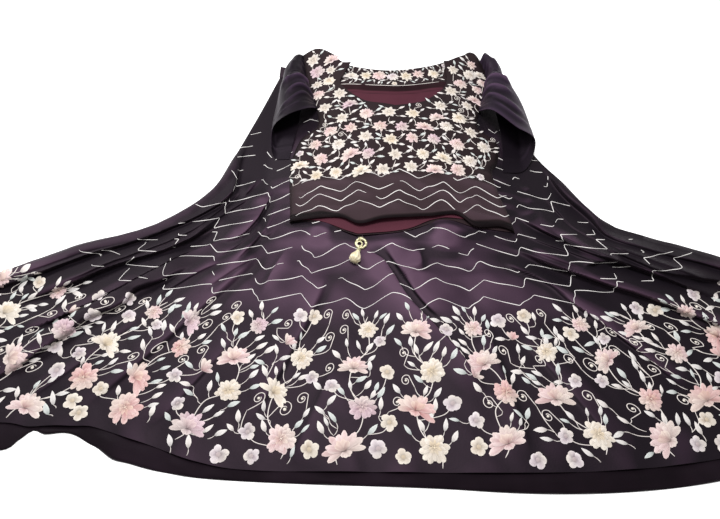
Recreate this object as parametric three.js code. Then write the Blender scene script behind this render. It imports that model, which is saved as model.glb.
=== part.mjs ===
// A lehenga choli laid out flat: a full flared skirt spread as a fan, and on its waist a choli
// with short wide sleeves. Millimetres: x runs across, y from the hem up to the waist, and z up
// from the surface that the skirt lies on. The origin is under the middle of the garment.
import * as THREE from "three";
import { mergeVertices } from "three/addons/utils/BufferGeometryUtils.js";

const { clamp, lerp, smoothstep } = THREE.MathUtils;

// --- Driving dimensions -------------------------------------------------------------------
const CLOTH = 1.5; // wall of every cloth piece
const SEAM_GAP = 0.3; // between two pieces that meet
const REST_GAP = 0.9; // between layers that lie on each other, where both are curved
const FRONT_LOFT = 1.3; // between the choli's lining and its front

const HALF_SPREAD = 950; // from the middle of the skirt to the corner of its hem
const CORNER_Y = -222; // how far up the fan's corners lie
const WAIST = { x: 25, half: 265, seamY: 355, rise: 95, band: 40, thick: 3, columns: 20 };
const FRONT_HEM = { y: -470, tilt: -10, dent: 46, dentX: -490, dentWidth: 85 };
const BACK_HEM = { y: -498, tilt: -20, dent: 58, dentX: -490, dentWidth: 70 };
const HEM_CURVE = 3.6; // power of the rise from the middle of a hem to its corners

// The bunched cloth at the waist lifts the skirt's front and the choli that lies on it.
const MOUND = { x: 25, half: 265, height: 50, footY: -230, crestY: 220, round: 1.2 };
const SHOULDER_LIFT = { height: 18, fromY: 390, toY: 490 };

const CORD = { radius: 1.3, topX: 24, endX: -41, topY: 366, endY: -50, sway: 5, ridge: 3 };
const RING = { x: -43, y: -63.5, radius: 9.5, tube: 3 };
const DROP = { length: 33, radius: 11, heading: 0.3, rise: 0.31 };

// Side folds of the skirt from the waist seam to the corners of the hem.
const SIDE_FOLDS = {
  left: [
    [-240, 450], [-271, 332], [-290, 265], [-317, 174], [-350, 76],
    [-444, -16], [-585, -64], [-686, -110], [-HALF_SPREAD, CORNER_Y],
  ],
  right: [
    [290, 450], [302, 340], [318, 220], [365, 116], [405, 35],
    [451, -16], [584, -64], [700, -118], [HALF_SPREAD, CORNER_Y],
  ],
};

// Largest folds of the skirt's front. across is 0 at the left side fold and 1 at the right one,
// down is 0 at the waist seam and 1 at the hem, and width is a share of the way across.
const FOLDS = [
  { across: 0.050, toAcross: 0.040, down: 0.34, toDown: 0.98, width: 0.020, height: 6 },
  { across: 0.112, toAcross: 0.074, down: 0.24, toDown: 0.86, width: 0.022, height: 9 },
  { across: 0.168, toAcross: 0.138, down: 0.40, toDown: 0.97, width: 0.026, height: 11 },
  { across: 0.262, toAcross: 0.236, down: 0.52, toDown: 1.02, width: 0.030, height: 6 },
  { across: 0.395, toAcross: 0.372, down: 0.55, toDown: 0.95, width: 0.030, height: 4 },
  { across: 0.468, toAcross: 0.566, down: 0.46, toDown: 0.92, width: 0.024, height: 7 },
  { across: 0.594, toAcross: 0.650, down: 0.42, toDown: 0.80, width: 0.024, height: 8 },
  { across: 0.686, toAcross: 0.830, down: 0.44, toDown: 0.98, width: 0.026, height: 11 },
  { across: 0.775, toAcross: 0.915, down: 0.36, toDown: 0.90, width: 0.024, height: 11 },
  { across: 0.905, toAcross: 0.948, down: 0.44, toDown: 0.99, width: 0.022, height: 8 },
];

// Sides of the choli's body at each height above its hem line.
const CHOLI_SIDES = [
  { y: -40, left: -181, right: 254 },
  { y: 10, left: -182, right: 247 },
  { y: 70, left: -187, right: 231 },
  { y: 120, left: -189, right: 226 },
  { y: 145, left: -189, right: 240 },
  { y: 205, left: -173, right: 250 },
  { y: 238, left: -137, right: 212 },
  { y: 305, left: -143, right: 222 },
  { y: 350, left: -162, right: 245 },
  { y: 412, left: -173, right: 252 },
  { y: 450, left: -180, right: 240 },
];
const CHOLI_ROWS = [-20, 15, 60, 105, 145, 180, 210, 240, 277, 293, 315, 340, 375, 412, 450];
const CHOLI_MIDDLE = 31;
const NECK_BOTTOM = 277;
const NECKLINE = [
  { y: NECK_BOTTOM, left: CHOLI_MIDDLE, right: CHOLI_MIDDLE },
  { y: 293, left: -23, right: 86 },
  { y: 315, left: -52, right: 114 },
  { y: 340, left: -72, right: 136 },
  { y: 375, left: -90, right: 151 },
  { y: 412, left: -80, right: 154 },
  { y: 450, left: -66, right: 150 },
];
const SHOULDER_LINE = [
  { x: -181, y: 474 }, { x: -145, y: 486 }, { x: -103, y: 453 }, { x: -66, y: 428 },
  { x: 150, y: 437 }, { x: 217, y: 480 }, { x: 240, y: 462 },
];
const BACK_NECK = [
  { x: -181, y: 474 }, { x: -145, y: 486 }, { x: -103, y: 453 }, { x: -68, y: 424 },
  { x: -11, y: 405 }, { x: 35, y: 401 }, { x: 93, y: 414 }, { x: 146, y: 436 },
  { x: 217, y: 480 }, { x: 240, y: 462 },
];
const FRONT_CHOLI_HEM = [
  { x: -182, y: -10 }, { x: -90, y: -9 }, { x: -47, y: -30 }, { x: 0, y: -21 },
  { x: 84, y: -12 }, { x: 140, y: -3 }, { x: 175, y: -27 }, { x: 223, y: -23 },
  { x: 254, y: -34 },
];
const BACK_CHOLI_HEM = [
  { x: -182, y: -6 }, { x: -122, y: -14 }, { x: -61, y: -43 }, { x: -36, y: -47 },
  { x: 42, y: -37 }, { x: 120, y: -12 }, { x: 175, y: -24 }, { x: 254, y: -30 },
];
const LINING = {
  rows: [-20, 20, 70, 120, 170, 210, 245, 277, 293, 315, 345],
  inset: 12,
  hem: [
    { x: -182, y: -2 }, { x: -122, y: -12 }, { x: -61, y: -41 }, { x: -36, y: -45 },
    { x: 42, y: -35 }, { x: 120, y: -8 }, { x: 254, y: -20 },
  ],
  top: [{ x: -150, y: 372 }, { x: -79, y: 363 }, { x: 33, y: 342 }, { x: 139, y: 373 }],
};

// Each sleeve is a C-shaped sheet, open towards the body, in rows from the shoulder to the
// mouth. From the front armhole a row runs over crown and brow, round the outer fold, and back
// over lip to end, at the back armhole.
const SLEEVE_RIGHT = [
  {
    crown: [250, 470, 56], brow: [257, 469, 52],
    fold: [263, 460, 42], lip: [258, 448, 32], end: [254, 440, 28],
  }, {
    crown: [262, 432, 62], brow: [275, 430, 56],
    fold: [282, 420, 42], lip: [278, 402, 27], end: [258, 392, 24],
  }, {
    crown: [258, 380, 66], brow: [276, 374, 60],
    fold: [286, 368, 42], lip: [283, 335, 25], end: [259, 322, 22],
  }, {
    crown: [246, 318, 70], brow: [284, 302, 66],
    fold: [313, 292, 40], lip: [302, 236, 14], end: [262, 226, 18],
  }, {
    crown: [236, 250, 70], brow: [277, 198, 70],
    fold: [323, 196, 36], lip: [300, 138, 8], end: [252, 124, 14],
  },
];
const SLEEVE_LEFT = [
  {
    crown: [-189, 468, 54], brow: [-199, 467, 50],
    fold: [-206, 459, 42], lip: [-202, 448, 32], end: [-186, 442, 30],
  }, {
    crown: [-193, 430, 58], brow: [-212, 426, 54],
    fold: [-220, 416, 42], lip: [-216, 396, 29], end: [-184, 388, 28],
  }, {
    crown: [-188, 385, 62], brow: [-211, 372, 58],
    fold: [-222, 360, 42], lip: [-221, 330, 27], end: [-176, 325, 30],
  }, {
    crown: [-178, 330, 64], brow: [-207, 306, 60],
    fold: [-225, 300, 38], lip: [-232, 250, 16], end: [-182, 250, 26],
  }, {
    crown: [-162, 262, 64], brow: [-201, 242, 62],
    fold: [-231, 236, 34], lip: [-226, 172, 10], end: [-195, 160, 16],
  },
];

// --- Materials ----------------------------------------------------------------------------
const material = (color, roughness, metalness = 0) =>
  new THREE.MeshStandardMaterial({ color, roughness, metalness, side: THREE.DoubleSide });
const georgette = material(0x3a2838, 0.72);
const waistCloth = material(0x33222f, 0.8);
const lining = material(0x5a1f33, 0.45);
const cordThread = material(0x4a3346, 0.7);
const gold = material(0xc8a050, 0.32, 0.9);
const ivory = material(0xe9e0c2, 0.5);

// --- Helpers ------------------------------------------------------------------------------
// Value of one column of a table at a place on its key column, straight between the rows.
function lookUp(rows, key, column, at) {
  const last = rows.length - 1;
  if (at <= rows[0][key]) return rows[0][column];
  if (at >= rows[last][key]) return rows[last][column];
  const next = rows.findIndex((row) => row[key] >= at);
  const before = rows[next - 1];
  const share = (at - before[key]) / (rows[next][key] - before[key]);
  return lerp(before[column], rows[next][column], share);
}

const bell = (distance, width) => Math.exp(-((distance / width) ** 2));

function grid(columns, rows, point) {
  const line = (count) => Array.from({ length: count + 1 }, (_, k) => k);
  return line(rows).map((j) => line(columns).map((i) => point(i, j)));
}

// Closed wall on one or more grids that share edges: the grids are its lower face, and the
// upper face is lifted by the wall's thickness, straight up or along the surface's normal.
function wall(grids, { thickness = CLOTH, alongNormal = false } = {}) {
  const below = [];
  const numbers = new Map();
  const number = (p) => {
    const key = p.map((value) => value.toFixed(3)).join();
    if (!numbers.has(key)) {
      numbers.set(key, below.length);
      below.push(new THREE.Vector3(...p));
    }
    return numbers.get(key);
  };
  const faces = [];
  for (const points of grids) {
    for (let j = 0; j + 1 < points.length; j++) {
      for (let i = 0; i + 1 < points[j].length; i++) {
        const corners = [points[j][i], points[j][i + 1], points[j + 1][i + 1], points[j + 1][i]];
        const [a, b, c, d] = corners.map(number);
        faces.push([a, b, c], [a, c, d]);
      }
    }
  }
  const solidFaces = faces.filter(([a, b, c]) => a !== b && b !== c && c !== a);
  const lifts = below.map(() => new THREE.Vector3(0, 0, alongNormal ? 0 : 1));
  const edges = new Map();
  for (const [a, b, c] of solidFaces) {
    if (alongNormal) {
      const ab = new THREE.Vector3().subVectors(below[b], below[a]);
      const normal = new THREE.Vector3().subVectors(below[c], below[a]).cross(ab).negate();
      for (const corner of [a, b, c]) lifts[corner].add(normal);
    }
    for (const [from, to] of [[a, b], [b, c], [c, a]]) edges.set(`${from},${to}`, [from, to]);
  }
  const above = below.map((p, k) => p.clone().addScaledVector(lifts[k].normalize(), thickness));
  const up = below.length;
  const index = [];
  for (const [a, b, c] of solidFaces) index.push(a + up, b + up, c + up, c, b, a);
  for (const [from, to] of edges.values()) {
    if (edges.has(`${to},${from}`)) continue;
    index.push(to + up, from + up, from, to + up, from, to);
  }
  const geometry = new THREE.BufferGeometry();
  geometry.setFromPoints([...below, ...above]);
  geometry.setIndex(index);
  geometry.computeVertexNormals();
  return geometry;
}

function named(name, geometry, surface) {
  const mesh = new THREE.Mesh(geometry, surface);
  mesh.name = name;
  return mesh;
}

// --- The skirt's shape --------------------------------------------------------------------
const asCurve = (rows) => new THREE.SplineCurve(rows.map(([x, y]) => new THREE.Vector2(x, y)));
const leftFold = asCurve(SIDE_FOLDS.left);
const rightFold = asCurve(SIDE_FOLDS.right);

const waistSeam = (x) => WAIST.seamY + WAIST.rise * ((x - WAIST.x) / WAIST.half) ** 2;

function hemLine(hem, x) {
  const out = Math.abs(x / HALF_SPREAD);
  const rise = (CORNER_Y - hem.y) * out ** HEM_CURVE;
  const tilt = hem.tilt * (x / HALF_SPREAD) * (1 - out ** 2);
  return hem.y + rise + tilt + hem.dent * bell(x - hem.dentX, hem.dentWidth);
}

// Plan of the fan: lines that run down it blend from one side fold, through a straight middle
// line, to the other, and their ends are then moved onto the waist seam and the hem.
function skirtPlan(across, down) {
  const side = 2 * across - 1;
  const shares = [(side * (side - 1)) / 2, 1 - side ** 2, (side * (side + 1)) / 2];
  const blend = (a, b, c) => shares[0] * a + shares[1] * b + shares[2] * c;
  const [left, right] = [leftFold.getPointAt(down), rightFold.getPointAt(down)];
  const middle = { x: lerp(WAIST.x, 0, down), y: lerp(WAIST.seamY, FRONT_HEM.y, down) };
  const topY = WAIST.seamY + WAIST.rise;
  const waistX = blend(WAIST.x - WAIST.half, WAIST.x, WAIST.x + WAIST.half);
  const hemX = blend(-HALF_SPREAD, 0, HALF_SPREAD);
  const toWaist = waistSeam(waistX) - blend(topY, WAIST.seamY, topY);
  const toHem = hemLine(FRONT_HEM, hemX) - blend(CORNER_Y, FRONT_HEM.y, CORNER_Y);
  return {
    x: blend(left.x, middle.x, right.x),
    y: blend(left.y, middle.y, right.y) + (1 - down) ** 2 * toWaist + down ** 3 * toHem,
  };
}

function moundHeight(x, y) {
  const plan = Math.max(0, 1 - ((x - MOUND.x) / MOUND.half) ** 2) ** MOUND.round;
  return MOUND.height * plan * smoothstep(y, MOUND.footY, MOUND.crestY);
}

// Share of a fold that is left under the choli and its sleeves, where the cloth is pressed.
function openness(x, y) {
  const away = Math.abs(x - CHOLI_MIDDLE);
  const underBody = (1 - smoothstep(away, 225, 290)) * smoothstep(y, -110, -50);
  const underSleeve = (1 - smoothstep(away, 300, 350)) * smoothstep(y, 60, 120);
  return 1 - Math.max(underBody, underSleeve);
}

function foldHeight(across, down) {
  let height = 0;
  for (const fold of FOLDS) {
    const share = clamp((down - fold.down) / (fold.toDown - fold.down), 0, 1);
    const line = lerp(fold.across, fold.toAcross, share);
    const swell = smoothstep(down, fold.down - 0.08, fold.down + 0.12);
    const fade = 1 - smoothstep(down, fold.toDown - 0.1, fold.toDown + 0.08);
    height += fold.height * swell * fade * bell(across - line, fold.width);
  }
  return height;
}

const FRONT_FLOOR = CLOTH + SEAM_GAP; // underside of the skirt's front where it lies flat
const skirtTop = (x, y) => FRONT_FLOOR + moundHeight(x, y) + CLOTH;

function skirtFrontPoint(across, down) {
  const { x, y } = skirtPlan(across, down);
  const folds = foldHeight(across, down) * openness(x, y);
  return [x, y, FRONT_FLOOR + moundHeight(x, y) + folds];
}

function skirtFront() {
  const [columns, rows] = [60, 14];
  const points = grid(columns, rows, (i, j) => skirtFrontPoint(i / columns, 1 - j / rows));
  return named("skirt_front", wall([points]), georgette);
}

// The back half lies flat on the floor, and its hem shows below the front's.
function skirtBack() {
  const [sideSteps, hemSteps] = [14, 44];
  const outline = [];
  for (let k = 0; k < sideSteps; k++) outline.push(leftFold.getPointAt(k / sideSteps));
  for (let k = 0; k < hemSteps; k++) {
    const x = lerp(-HALF_SPREAD, HALF_SPREAD, k / hemSteps);
    outline.push(new THREE.Vector2(x, hemLine(BACK_HEM, x)));
  }
  for (let k = 0; k < sideSteps; k++) outline.push(rightFold.getPointAt(1 - k / sideSteps));
  for (let k = 0; k < WAIST.columns; k++) {
    const x = lerp(WAIST.x + WAIST.half, WAIST.x - WAIST.half, k / WAIST.columns);
    outline.push(new THREE.Vector2(x, waistSeam(x)));
  }
  const shape = new THREE.Shape(outline);
  const geometry = new THREE.ExtrudeGeometry(shape, { depth: CLOTH, bevelEnabled: false });
  return named("skirt_back", geometry, georgette);
}

// Hidden bunched layers between the two halves, one rounded solid.
function skirtGathers() {
  const [columns, rows] = [22, 8];
  const reach = { left: -200, right: 250, footY: -150, clearance: 1.2, thinnest: 0.6 };
  const place = (i, j) => {
    const x = lerp(reach.left, reach.right, i / columns);
    return [x, lerp(reach.footY, waistSeam(x) - 2, j / rows)];
  };
  const under = grid(columns, rows, (i, j) => [...place(i, j), FRONT_FLOOR]);
  const geometry = wall([under]);
  const position = geometry.attributes.position;
  for (let k = position.count / 2; k < position.count; k++) {
    const height = moundHeight(position.getX(k), position.getY(k)) - reach.clearance;
    position.setZ(k, FRONT_FLOOR + Math.max(height, reach.thinnest));
  }
  return named("skirt_gathers", geometry, georgette);
}

function waistband(name, underside) {
  const { columns } = WAIST;
  const points = grid(columns, 1, (i, j) => {
    const x = lerp(WAIST.x - WAIST.half, WAIST.x + WAIST.half, i / columns);
    const y = waistSeam(x) + (j ? WAIST.band : SEAM_GAP);
    return [x, y, underside(x, y)];
  });
  return named(name, wall([points], { thickness: WAIST.thick }), waistCloth);
}

const BAND_FRONT_FLOOR = WAIST.thick + SEAM_GAP;
const bandFrontFloor = (x, y) => BAND_FRONT_FLOOR + moundHeight(x, y);

// --- Drawstring and tassel ----------------------------------------------------------------
const cordX = (y) => {
  const share = (CORD.topY - y) / (CORD.topY - CORD.endY);
  return lerp(CORD.topX, CORD.endX, share) + CORD.sway * Math.sin(2 * Math.PI * share);
};
const bandStep = (y) => WAIST.thick * smoothstep(y, 270, 352);

function drawstring() {
  const steps = 34;
  const clearance = 0.6;
  const route = [];
  for (let k = 0; k <= 16; k++) {
    const y = lerp(CORD.topY, CORD.endY, k / 16);
    const x = cordX(y);
    const z = skirtTop(x, y) + bandStep(y) + clearance + CORD.radius;
    route.push(new THREE.Vector3(x, y, z));
  }
  const section = new THREE.Shape();
  for (let k = 0; k < 8; k++) {
    const angle = (k / 8) * 2 * Math.PI;
    const corner = [CORD.radius * Math.cos(angle), CORD.radius * Math.sin(angle)];
    if (k) section.lineTo(...corner);
    else section.moveTo(...corner);
  }
  const extrudePath = new THREE.CatmullRomCurve3(route);
  const geometry = new THREE.ExtrudeGeometry(section, { steps, extrudePath });
  return named("drawstring", geometry, cordThread);
}

function tassel() {
  const group = new THREE.Group();
  const ground = skirtTop(RING.x, RING.y);
  const slope = Math.atan2(ground - skirtTop(RING.x, RING.y - 20), 20);
  group.position.set(RING.x, RING.y, ground);
  group.rotation.set(slope, 0, 0);
  const ring = named("tassel_ring", new THREE.TorusGeometry(RING.radius, RING.tube, 8, 16), gold);
  ring.position.z = RING.tube + 0.6;
  const profile = [[0, 0], [0.28, 0.06], [0.42, 0.3], [0.8, 0.55], [1, 0.76], [0.72, 0.95], [0, 1]];
  const points = profile.map(([r, y]) => new THREE.Vector2(r * DROP.radius, -y * DROP.length));
  const lathe = new THREE.LatheGeometry(points.reverse(), 12);
  const drop = named("tassel_drop", lathe, ivory);
  const reach = RING.radius + RING.tube + SEAM_GAP;
  drop.position.set(-reach * Math.sin(DROP.heading), -reach * Math.cos(DROP.heading), 4);
  drop.rotation.set(-DROP.rise, 0, -DROP.heading);
  group.add(ring, drop);
  return group;
}

// --- The choli ----------------------------------------------------------------------------
// Surface that the choli lies on: the skirt's front, the waistband and the drawstring.
function restHeight(x, y) {
  const { height, fromY, toY } = SHOULDER_LIFT;
  const cord = CORD.ridge * bell(x - cordX(y), 45) * (1 - smoothstep(y, CORD.topY, 420));
  return skirtTop(x, y) + bandStep(y) + cord + height * smoothstep(y, fromY, toY);
}
const backFloor = (x, y) => restHeight(x, y) + REST_GAP;
const liningFloor = (x, y) => backFloor(x, y) + CLOTH + REST_GAP;
const hemLoft = (x, y) => 7 * bell(x - 10, 90) * bell(y + 20, 40);
const frontFloor = (x, y) => liningFloor(x, y) + CLOTH + FRONT_LOFT + hemLoft(x, y);

const choliSide = (side, y) => lookUp(CHOLI_SIDES, "y", side, y);

// Place on the choli: base is the row's height, moved near the hem and the top edge onto them.
function choliPlace(x, base, hem, top) {
  const [first, last] = [CHOLI_ROWS[0], CHOLI_ROWS[CHOLI_ROWS.length - 1]];
  const share = (base - first) / (last - first);
  const toHem = (1 - share) ** 4 * (lookUp(hem, "x", "y", x) - first);
  const toTop = share ** 6 * (lookUp(top, "x", "y", x) - last);
  return [x, base + toHem + toTop];
}

function choliFront() {
  const columns = 9;
  const half = (side) =>
    grid(columns, CHOLI_ROWS.length - 1, (i, j) => {
      const base = CHOLI_ROWS[j];
      const outer = choliSide(side, base);
      const inner = base > NECK_BOTTOM ? lookUp(NECKLINE, "y", side, base) : CHOLI_MIDDLE;
      const share = side === "left" ? i / columns : 1 - i / columns;
      const [x, y] = choliPlace(lerp(outer, inner, share), base, FRONT_CHOLI_HEM, SHOULDER_LINE);
      return [x, y, frontFloor(x, y)];
    });
  return named("choli_front", wall([half("left"), half("right")]), georgette);
}

// Points along the armhole of the front, from its foot to the shoulder, two to each row.
function armhole(side) {
  const points = [];
  const rows = CHOLI_ROWS.filter((base) => base > NECK_BOTTOM);
  const corners = rows.map((base) =>
    choliPlace(choliSide(side, base), base, FRONT_CHOLI_HEM, SHOULDER_LINE));
  corners.forEach(([x, y], k) => {
    points.push([x, y]);
    const next = corners[k + 1];
    if (next) points.push([(x + next[0]) / 2, (y + next[1]) / 2]);
  });
  return points;
}

function choliBack() {
  const columns = 18;
  const points = grid(columns, CHOLI_ROWS.length - 1, (i, j) => {
    const base = CHOLI_ROWS[j];
    const across = lerp(choliSide("left", base), choliSide("right", base), i / columns);
    const [x, y] = choliPlace(across, base, BACK_CHOLI_HEM, BACK_NECK);
    return [x, y, backFloor(x, y)];
  });
  return named("choli_back", wall([points]), georgette);
}

function choliLining() {
  const columns = 16;
  const { rows, inset, hem, top } = LINING;
  const points = grid(columns, rows.length - 1, (i, j) => {
    const base = rows[j];
    const share = j / (rows.length - 1);
    const [left, right] = [choliSide("left", base) + inset, choliSide("right", base) - inset];
    const x = lerp(left, right, i / columns);
    const toHem = (1 - share) ** 3 * (lookUp(hem, "x", "y", x) - rows[0]);
    const toTop = share ** 4 * (lookUp(top, "x", "y", x) - rows[rows.length - 1]);
    const y = base + toHem + toTop;
    return [x, y, liningFloor(x, y)];
  });
  return named("choli_lining", wall([points]), lining);
}

function sleeve(name, table, side) {
  const outward = side === "left" ? -1 : 1;
  const edge = armhole(side).reverse();
  const [columns, rows] = [14, edge.length - 1];
  const lowest = (x, y) => skirtTop(x, y) + REST_GAP + CLOTH;
  const lanes = ["crown", "brow", "fold", "lip", "end"].map((lane) =>
    new THREE.CatmullRomCurve3(table.map((row) => new THREE.Vector3(...row[lane]))));
  const rings = edge.map(([seamX, seamY], j) => {
    const x = seamX + outward * (CLOTH + SEAM_GAP + 0.3);
    const seam = new THREE.Vector3(x, seamY, frontFloor(seamX, seamY));
    return new THREE.CatmullRomCurve3([seam, ...lanes.map((lane) => lane.getPoint(j / rows))]);
  });
  const points = grid(columns, rows, (i, j) => {
    const ring = rings[side === "left" ? j : rows - j];
    const { x, y, z } = ring.getPoint(i / columns);
    return [x, y, Math.max(z, lowest(x, y))];
  });
  return named(name, wall([points], { alongNormal: true }), georgette);
}

// --- Assembly -----------------------------------------------------------------------------
const garment = new THREE.Group();
garment.add(
  skirtBack(),
  skirtGathers(),
  skirtFront(),
  waistband("waistband_back", () => 0),
  waistband("waistband_front", bandFrontFloor),
  drawstring(),
  tassel(),
  choliBack(),
  choliLining(),
  choliFront(),
  sleeve("sleeve_left", SLEEVE_LEFT, "left"),
  sleeve("sleeve_right", SLEEVE_RIGHT, "right"),
);

garment.traverse((object) => {
  if (!object.isMesh) return;
  object.geometry.deleteAttribute("normal");
  object.geometry.deleteAttribute("uv");
  object.geometry = mergeVertices(object.geometry, 1e-4);
  object.geometry.computeVertexNormals();
});

// The origin goes under the middle of the whole garment.
const middle = new THREE.Box3().setFromObject(garment).getCenter(new THREE.Vector3());
garment.position.set(-middle.x, -middle.y, 0);

export default garment;
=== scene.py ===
"""The looks of a lehenga choli laid out flat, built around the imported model.

The shapes are worked out in the garment's own frame, in millimetres: x runs across, y from the
hem up to the waist, and z up from the floor. to_world() puts them into the model's frame.
"""
import math
import random

import bpy
import numpy as np
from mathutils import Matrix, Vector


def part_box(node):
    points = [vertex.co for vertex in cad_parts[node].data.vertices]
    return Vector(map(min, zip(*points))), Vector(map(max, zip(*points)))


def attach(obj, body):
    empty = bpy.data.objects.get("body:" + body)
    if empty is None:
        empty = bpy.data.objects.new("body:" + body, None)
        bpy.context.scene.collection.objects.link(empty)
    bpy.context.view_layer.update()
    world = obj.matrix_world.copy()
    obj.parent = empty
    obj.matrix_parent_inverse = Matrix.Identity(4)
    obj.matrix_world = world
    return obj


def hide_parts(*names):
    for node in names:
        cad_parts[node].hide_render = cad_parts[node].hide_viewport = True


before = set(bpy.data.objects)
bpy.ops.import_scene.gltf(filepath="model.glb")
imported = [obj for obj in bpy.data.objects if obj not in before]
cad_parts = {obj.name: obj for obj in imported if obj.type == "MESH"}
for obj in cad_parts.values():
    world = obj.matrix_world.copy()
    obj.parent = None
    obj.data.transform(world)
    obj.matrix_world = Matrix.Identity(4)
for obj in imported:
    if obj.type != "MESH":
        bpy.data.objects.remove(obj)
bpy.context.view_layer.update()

MM = 0.001
WAISTBAND_TOP = 490.0  # y of the back waistband's highest point, in the garment's own frame
SHIFT_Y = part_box("waistband_back")[1].y / MM - WAISTBAND_TOP

# --- Sizes that the model has too ---------------------------------------------------------
CLOTH = 1.5  # wall of every cloth piece
SEAM_GAP = 0.3  # between two pieces that meet
REST_GAP = 0.9  # between layers that lie on each other
FRONT_LOFT = 1.3  # between the choli's lining and its front
HALF_SPREAD = 950.0  # from the middle of the skirt to the corner of its hem
CORNER_Y = -222.0  # how far up the fan's corners lie
WAIST = {"x": 25.0, "half": 265.0, "seam_y": 355.0, "rise": 95.0, "band": 40.0, "thick": 3.0}
FRONT_HEM = {"y": -470.0, "tilt": -10.0, "dent": 46.0, "dent_x": -490.0, "dent_width": 85.0}
BACK_HEM = {"y": -498.0, "tilt": -20.0, "dent": 58.0, "dent_x": -490.0, "dent_width": 70.0}
HEM_CURVE = 3.6  # power of the rise from the middle of a hem to its corners
MOUND = {"x": 25.0, "half": 265.0, "height": 50.0, "foot_y": -230.0, "crest_y": 220.0, "round": 1.2}
SHOULDER_LIFT = {"height": 18.0, "from_y": 390.0, "to_y": 490.0}
CORD = {"radius": 1.3, "top_x": 24.0, "end_x": -41.0, "top_y": 366.0, "end_y": -50.0, "sway": 5.0}
CORD_RIDGE = 3.0  # how much the choli's back is lifted where the cord lies under it
RING = {"x": -43.0, "y": -63.5, "radius": 9.5, "tube": 3.0}
DROP = {"length": 33.0, "radius": 11.0, "heading": 0.3, "rise": 0.31}
FRONT_FLOOR = CLOTH + SEAM_GAP  # underside of the skirt's front where it lies flat

# Side folds of the skirt, from the waist seam to the corners of the hem.
LEFT_FOLD = [
    (-240, 450), (-271, 332), (-290, 265), (-317, 174), (-350, 76),
    (-444, -16), (-585, -64), (-686, -110), (-HALF_SPREAD, CORNER_Y),
]
RIGHT_FOLD = [
    (290, 450), (302, 340), (318, 220), (365, 116), (405, 35),
    (451, -16), (584, -64), (700, -118), (HALF_SPREAD, CORNER_Y),
]

# The choli's sides and neckline: how far up, and x. The shoulders and hems: x, and how far up.
CHOLI_LEFT = [
    (-40, -181), (10, -182), (70, -187), (120, -189), (145, -189), (205, -173),
    (238, -137), (305, -143), (350, -162), (412, -173), (450, -180),
]
CHOLI_RIGHT = [
    (-40, 254), (10, 247), (70, 231), (120, 226), (145, 240), (205, 250),
    (238, 212), (305, 222), (350, 245), (412, 252), (450, 240),
]
CHOLI_MIDDLE = 31.0
CHOLI_FOOT, CHOLI_TOP = -20.0, 450.0
NECK_BOTTOM = 277.0
NECK_LEFT = [(277, 31), (293, -23), (315, -52), (340, -72), (375, -90), (412, -80), (450, -66)]
NECK_RIGHT = [(277, 31), (293, 86), (315, 114), (340, 136), (375, 151), (412, 154), (450, 150)]
SHOULDER_LINE = [
    (-181, 474), (-145, 486), (-103, 453), (-66, 428), (150, 437), (217, 480), (240, 462),
]
BACK_NECK = [
    (-181, 474), (-145, 486), (-103, 453), (-68, 424), (-11, 405),
    (35, 401), (93, 414), (146, 436), (217, 480), (240, 462),
]
FRONT_CHOLI_HEM = [
    (-182, -10), (-90, -9), (-47, -30), (0, -21), (84, -12),
    (140, -3), (175, -27), (223, -23), (254, -34),
]
BACK_CHOLI_HEM = [
    (-182, -6), (-122, -14), (-61, -43), (-36, -47), (42, -37), (120, -12), (175, -24), (254, -30),
]
LINING_HEM = [(-182, -2), (-122, -12), (-61, -41), (-36, -45), (42, -35), (120, -8), (254, -20)]
LINING_TOP = [(-150, 372), (-79, 363), (33, 342), (139, 373)]
LINING_FOOT, LINING_CREST, LINING_INSET = -20.0, 345.0, 12.0

# Rows from the shoulder to the mouth: crown, brow, fold, lip and end of each.
SLEEVE_RIGHT = [
    [(250, 470, 56), (257, 469, 52), (263, 460, 42), (258, 448, 32), (254, 440, 28)],
    [(262, 432, 62), (275, 430, 56), (282, 420, 42), (278, 402, 27), (258, 392, 24)],
    [(258, 380, 66), (276, 374, 60), (286, 368, 42), (283, 335, 25), (259, 322, 22)],
    [(246, 318, 70), (284, 302, 66), (313, 292, 40), (302, 236, 14), (262, 226, 18)],
    [(236, 250, 70), (277, 198, 70), (323, 196, 36), (300, 138, 8), (252, 124, 14)],
]
SLEEVE_LEFT = [
    [(-189, 468, 54), (-199, 467, 50), (-206, 459, 42), (-202, 448, 32), (-186, 442, 30)],
    [(-193, 430, 58), (-212, 426, 54), (-220, 416, 42), (-216, 396, 29), (-184, 388, 28)],
    [(-188, 385, 62), (-211, 372, 58), (-222, 360, 42), (-221, 330, 27), (-176, 325, 30)],
    [(-178, 330, 64), (-207, 306, 60), (-225, 300, 38), (-232, 250, 16), (-182, 250, 26)],
    [(-162, 262, 64), (-201, 242, 62), (-231, 236, 34), (-226, 172, 10), (-195, 160, 16)],
]
ARMHOLE_ROWS = (293, 315, 340, 375, 412, 450)

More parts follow.
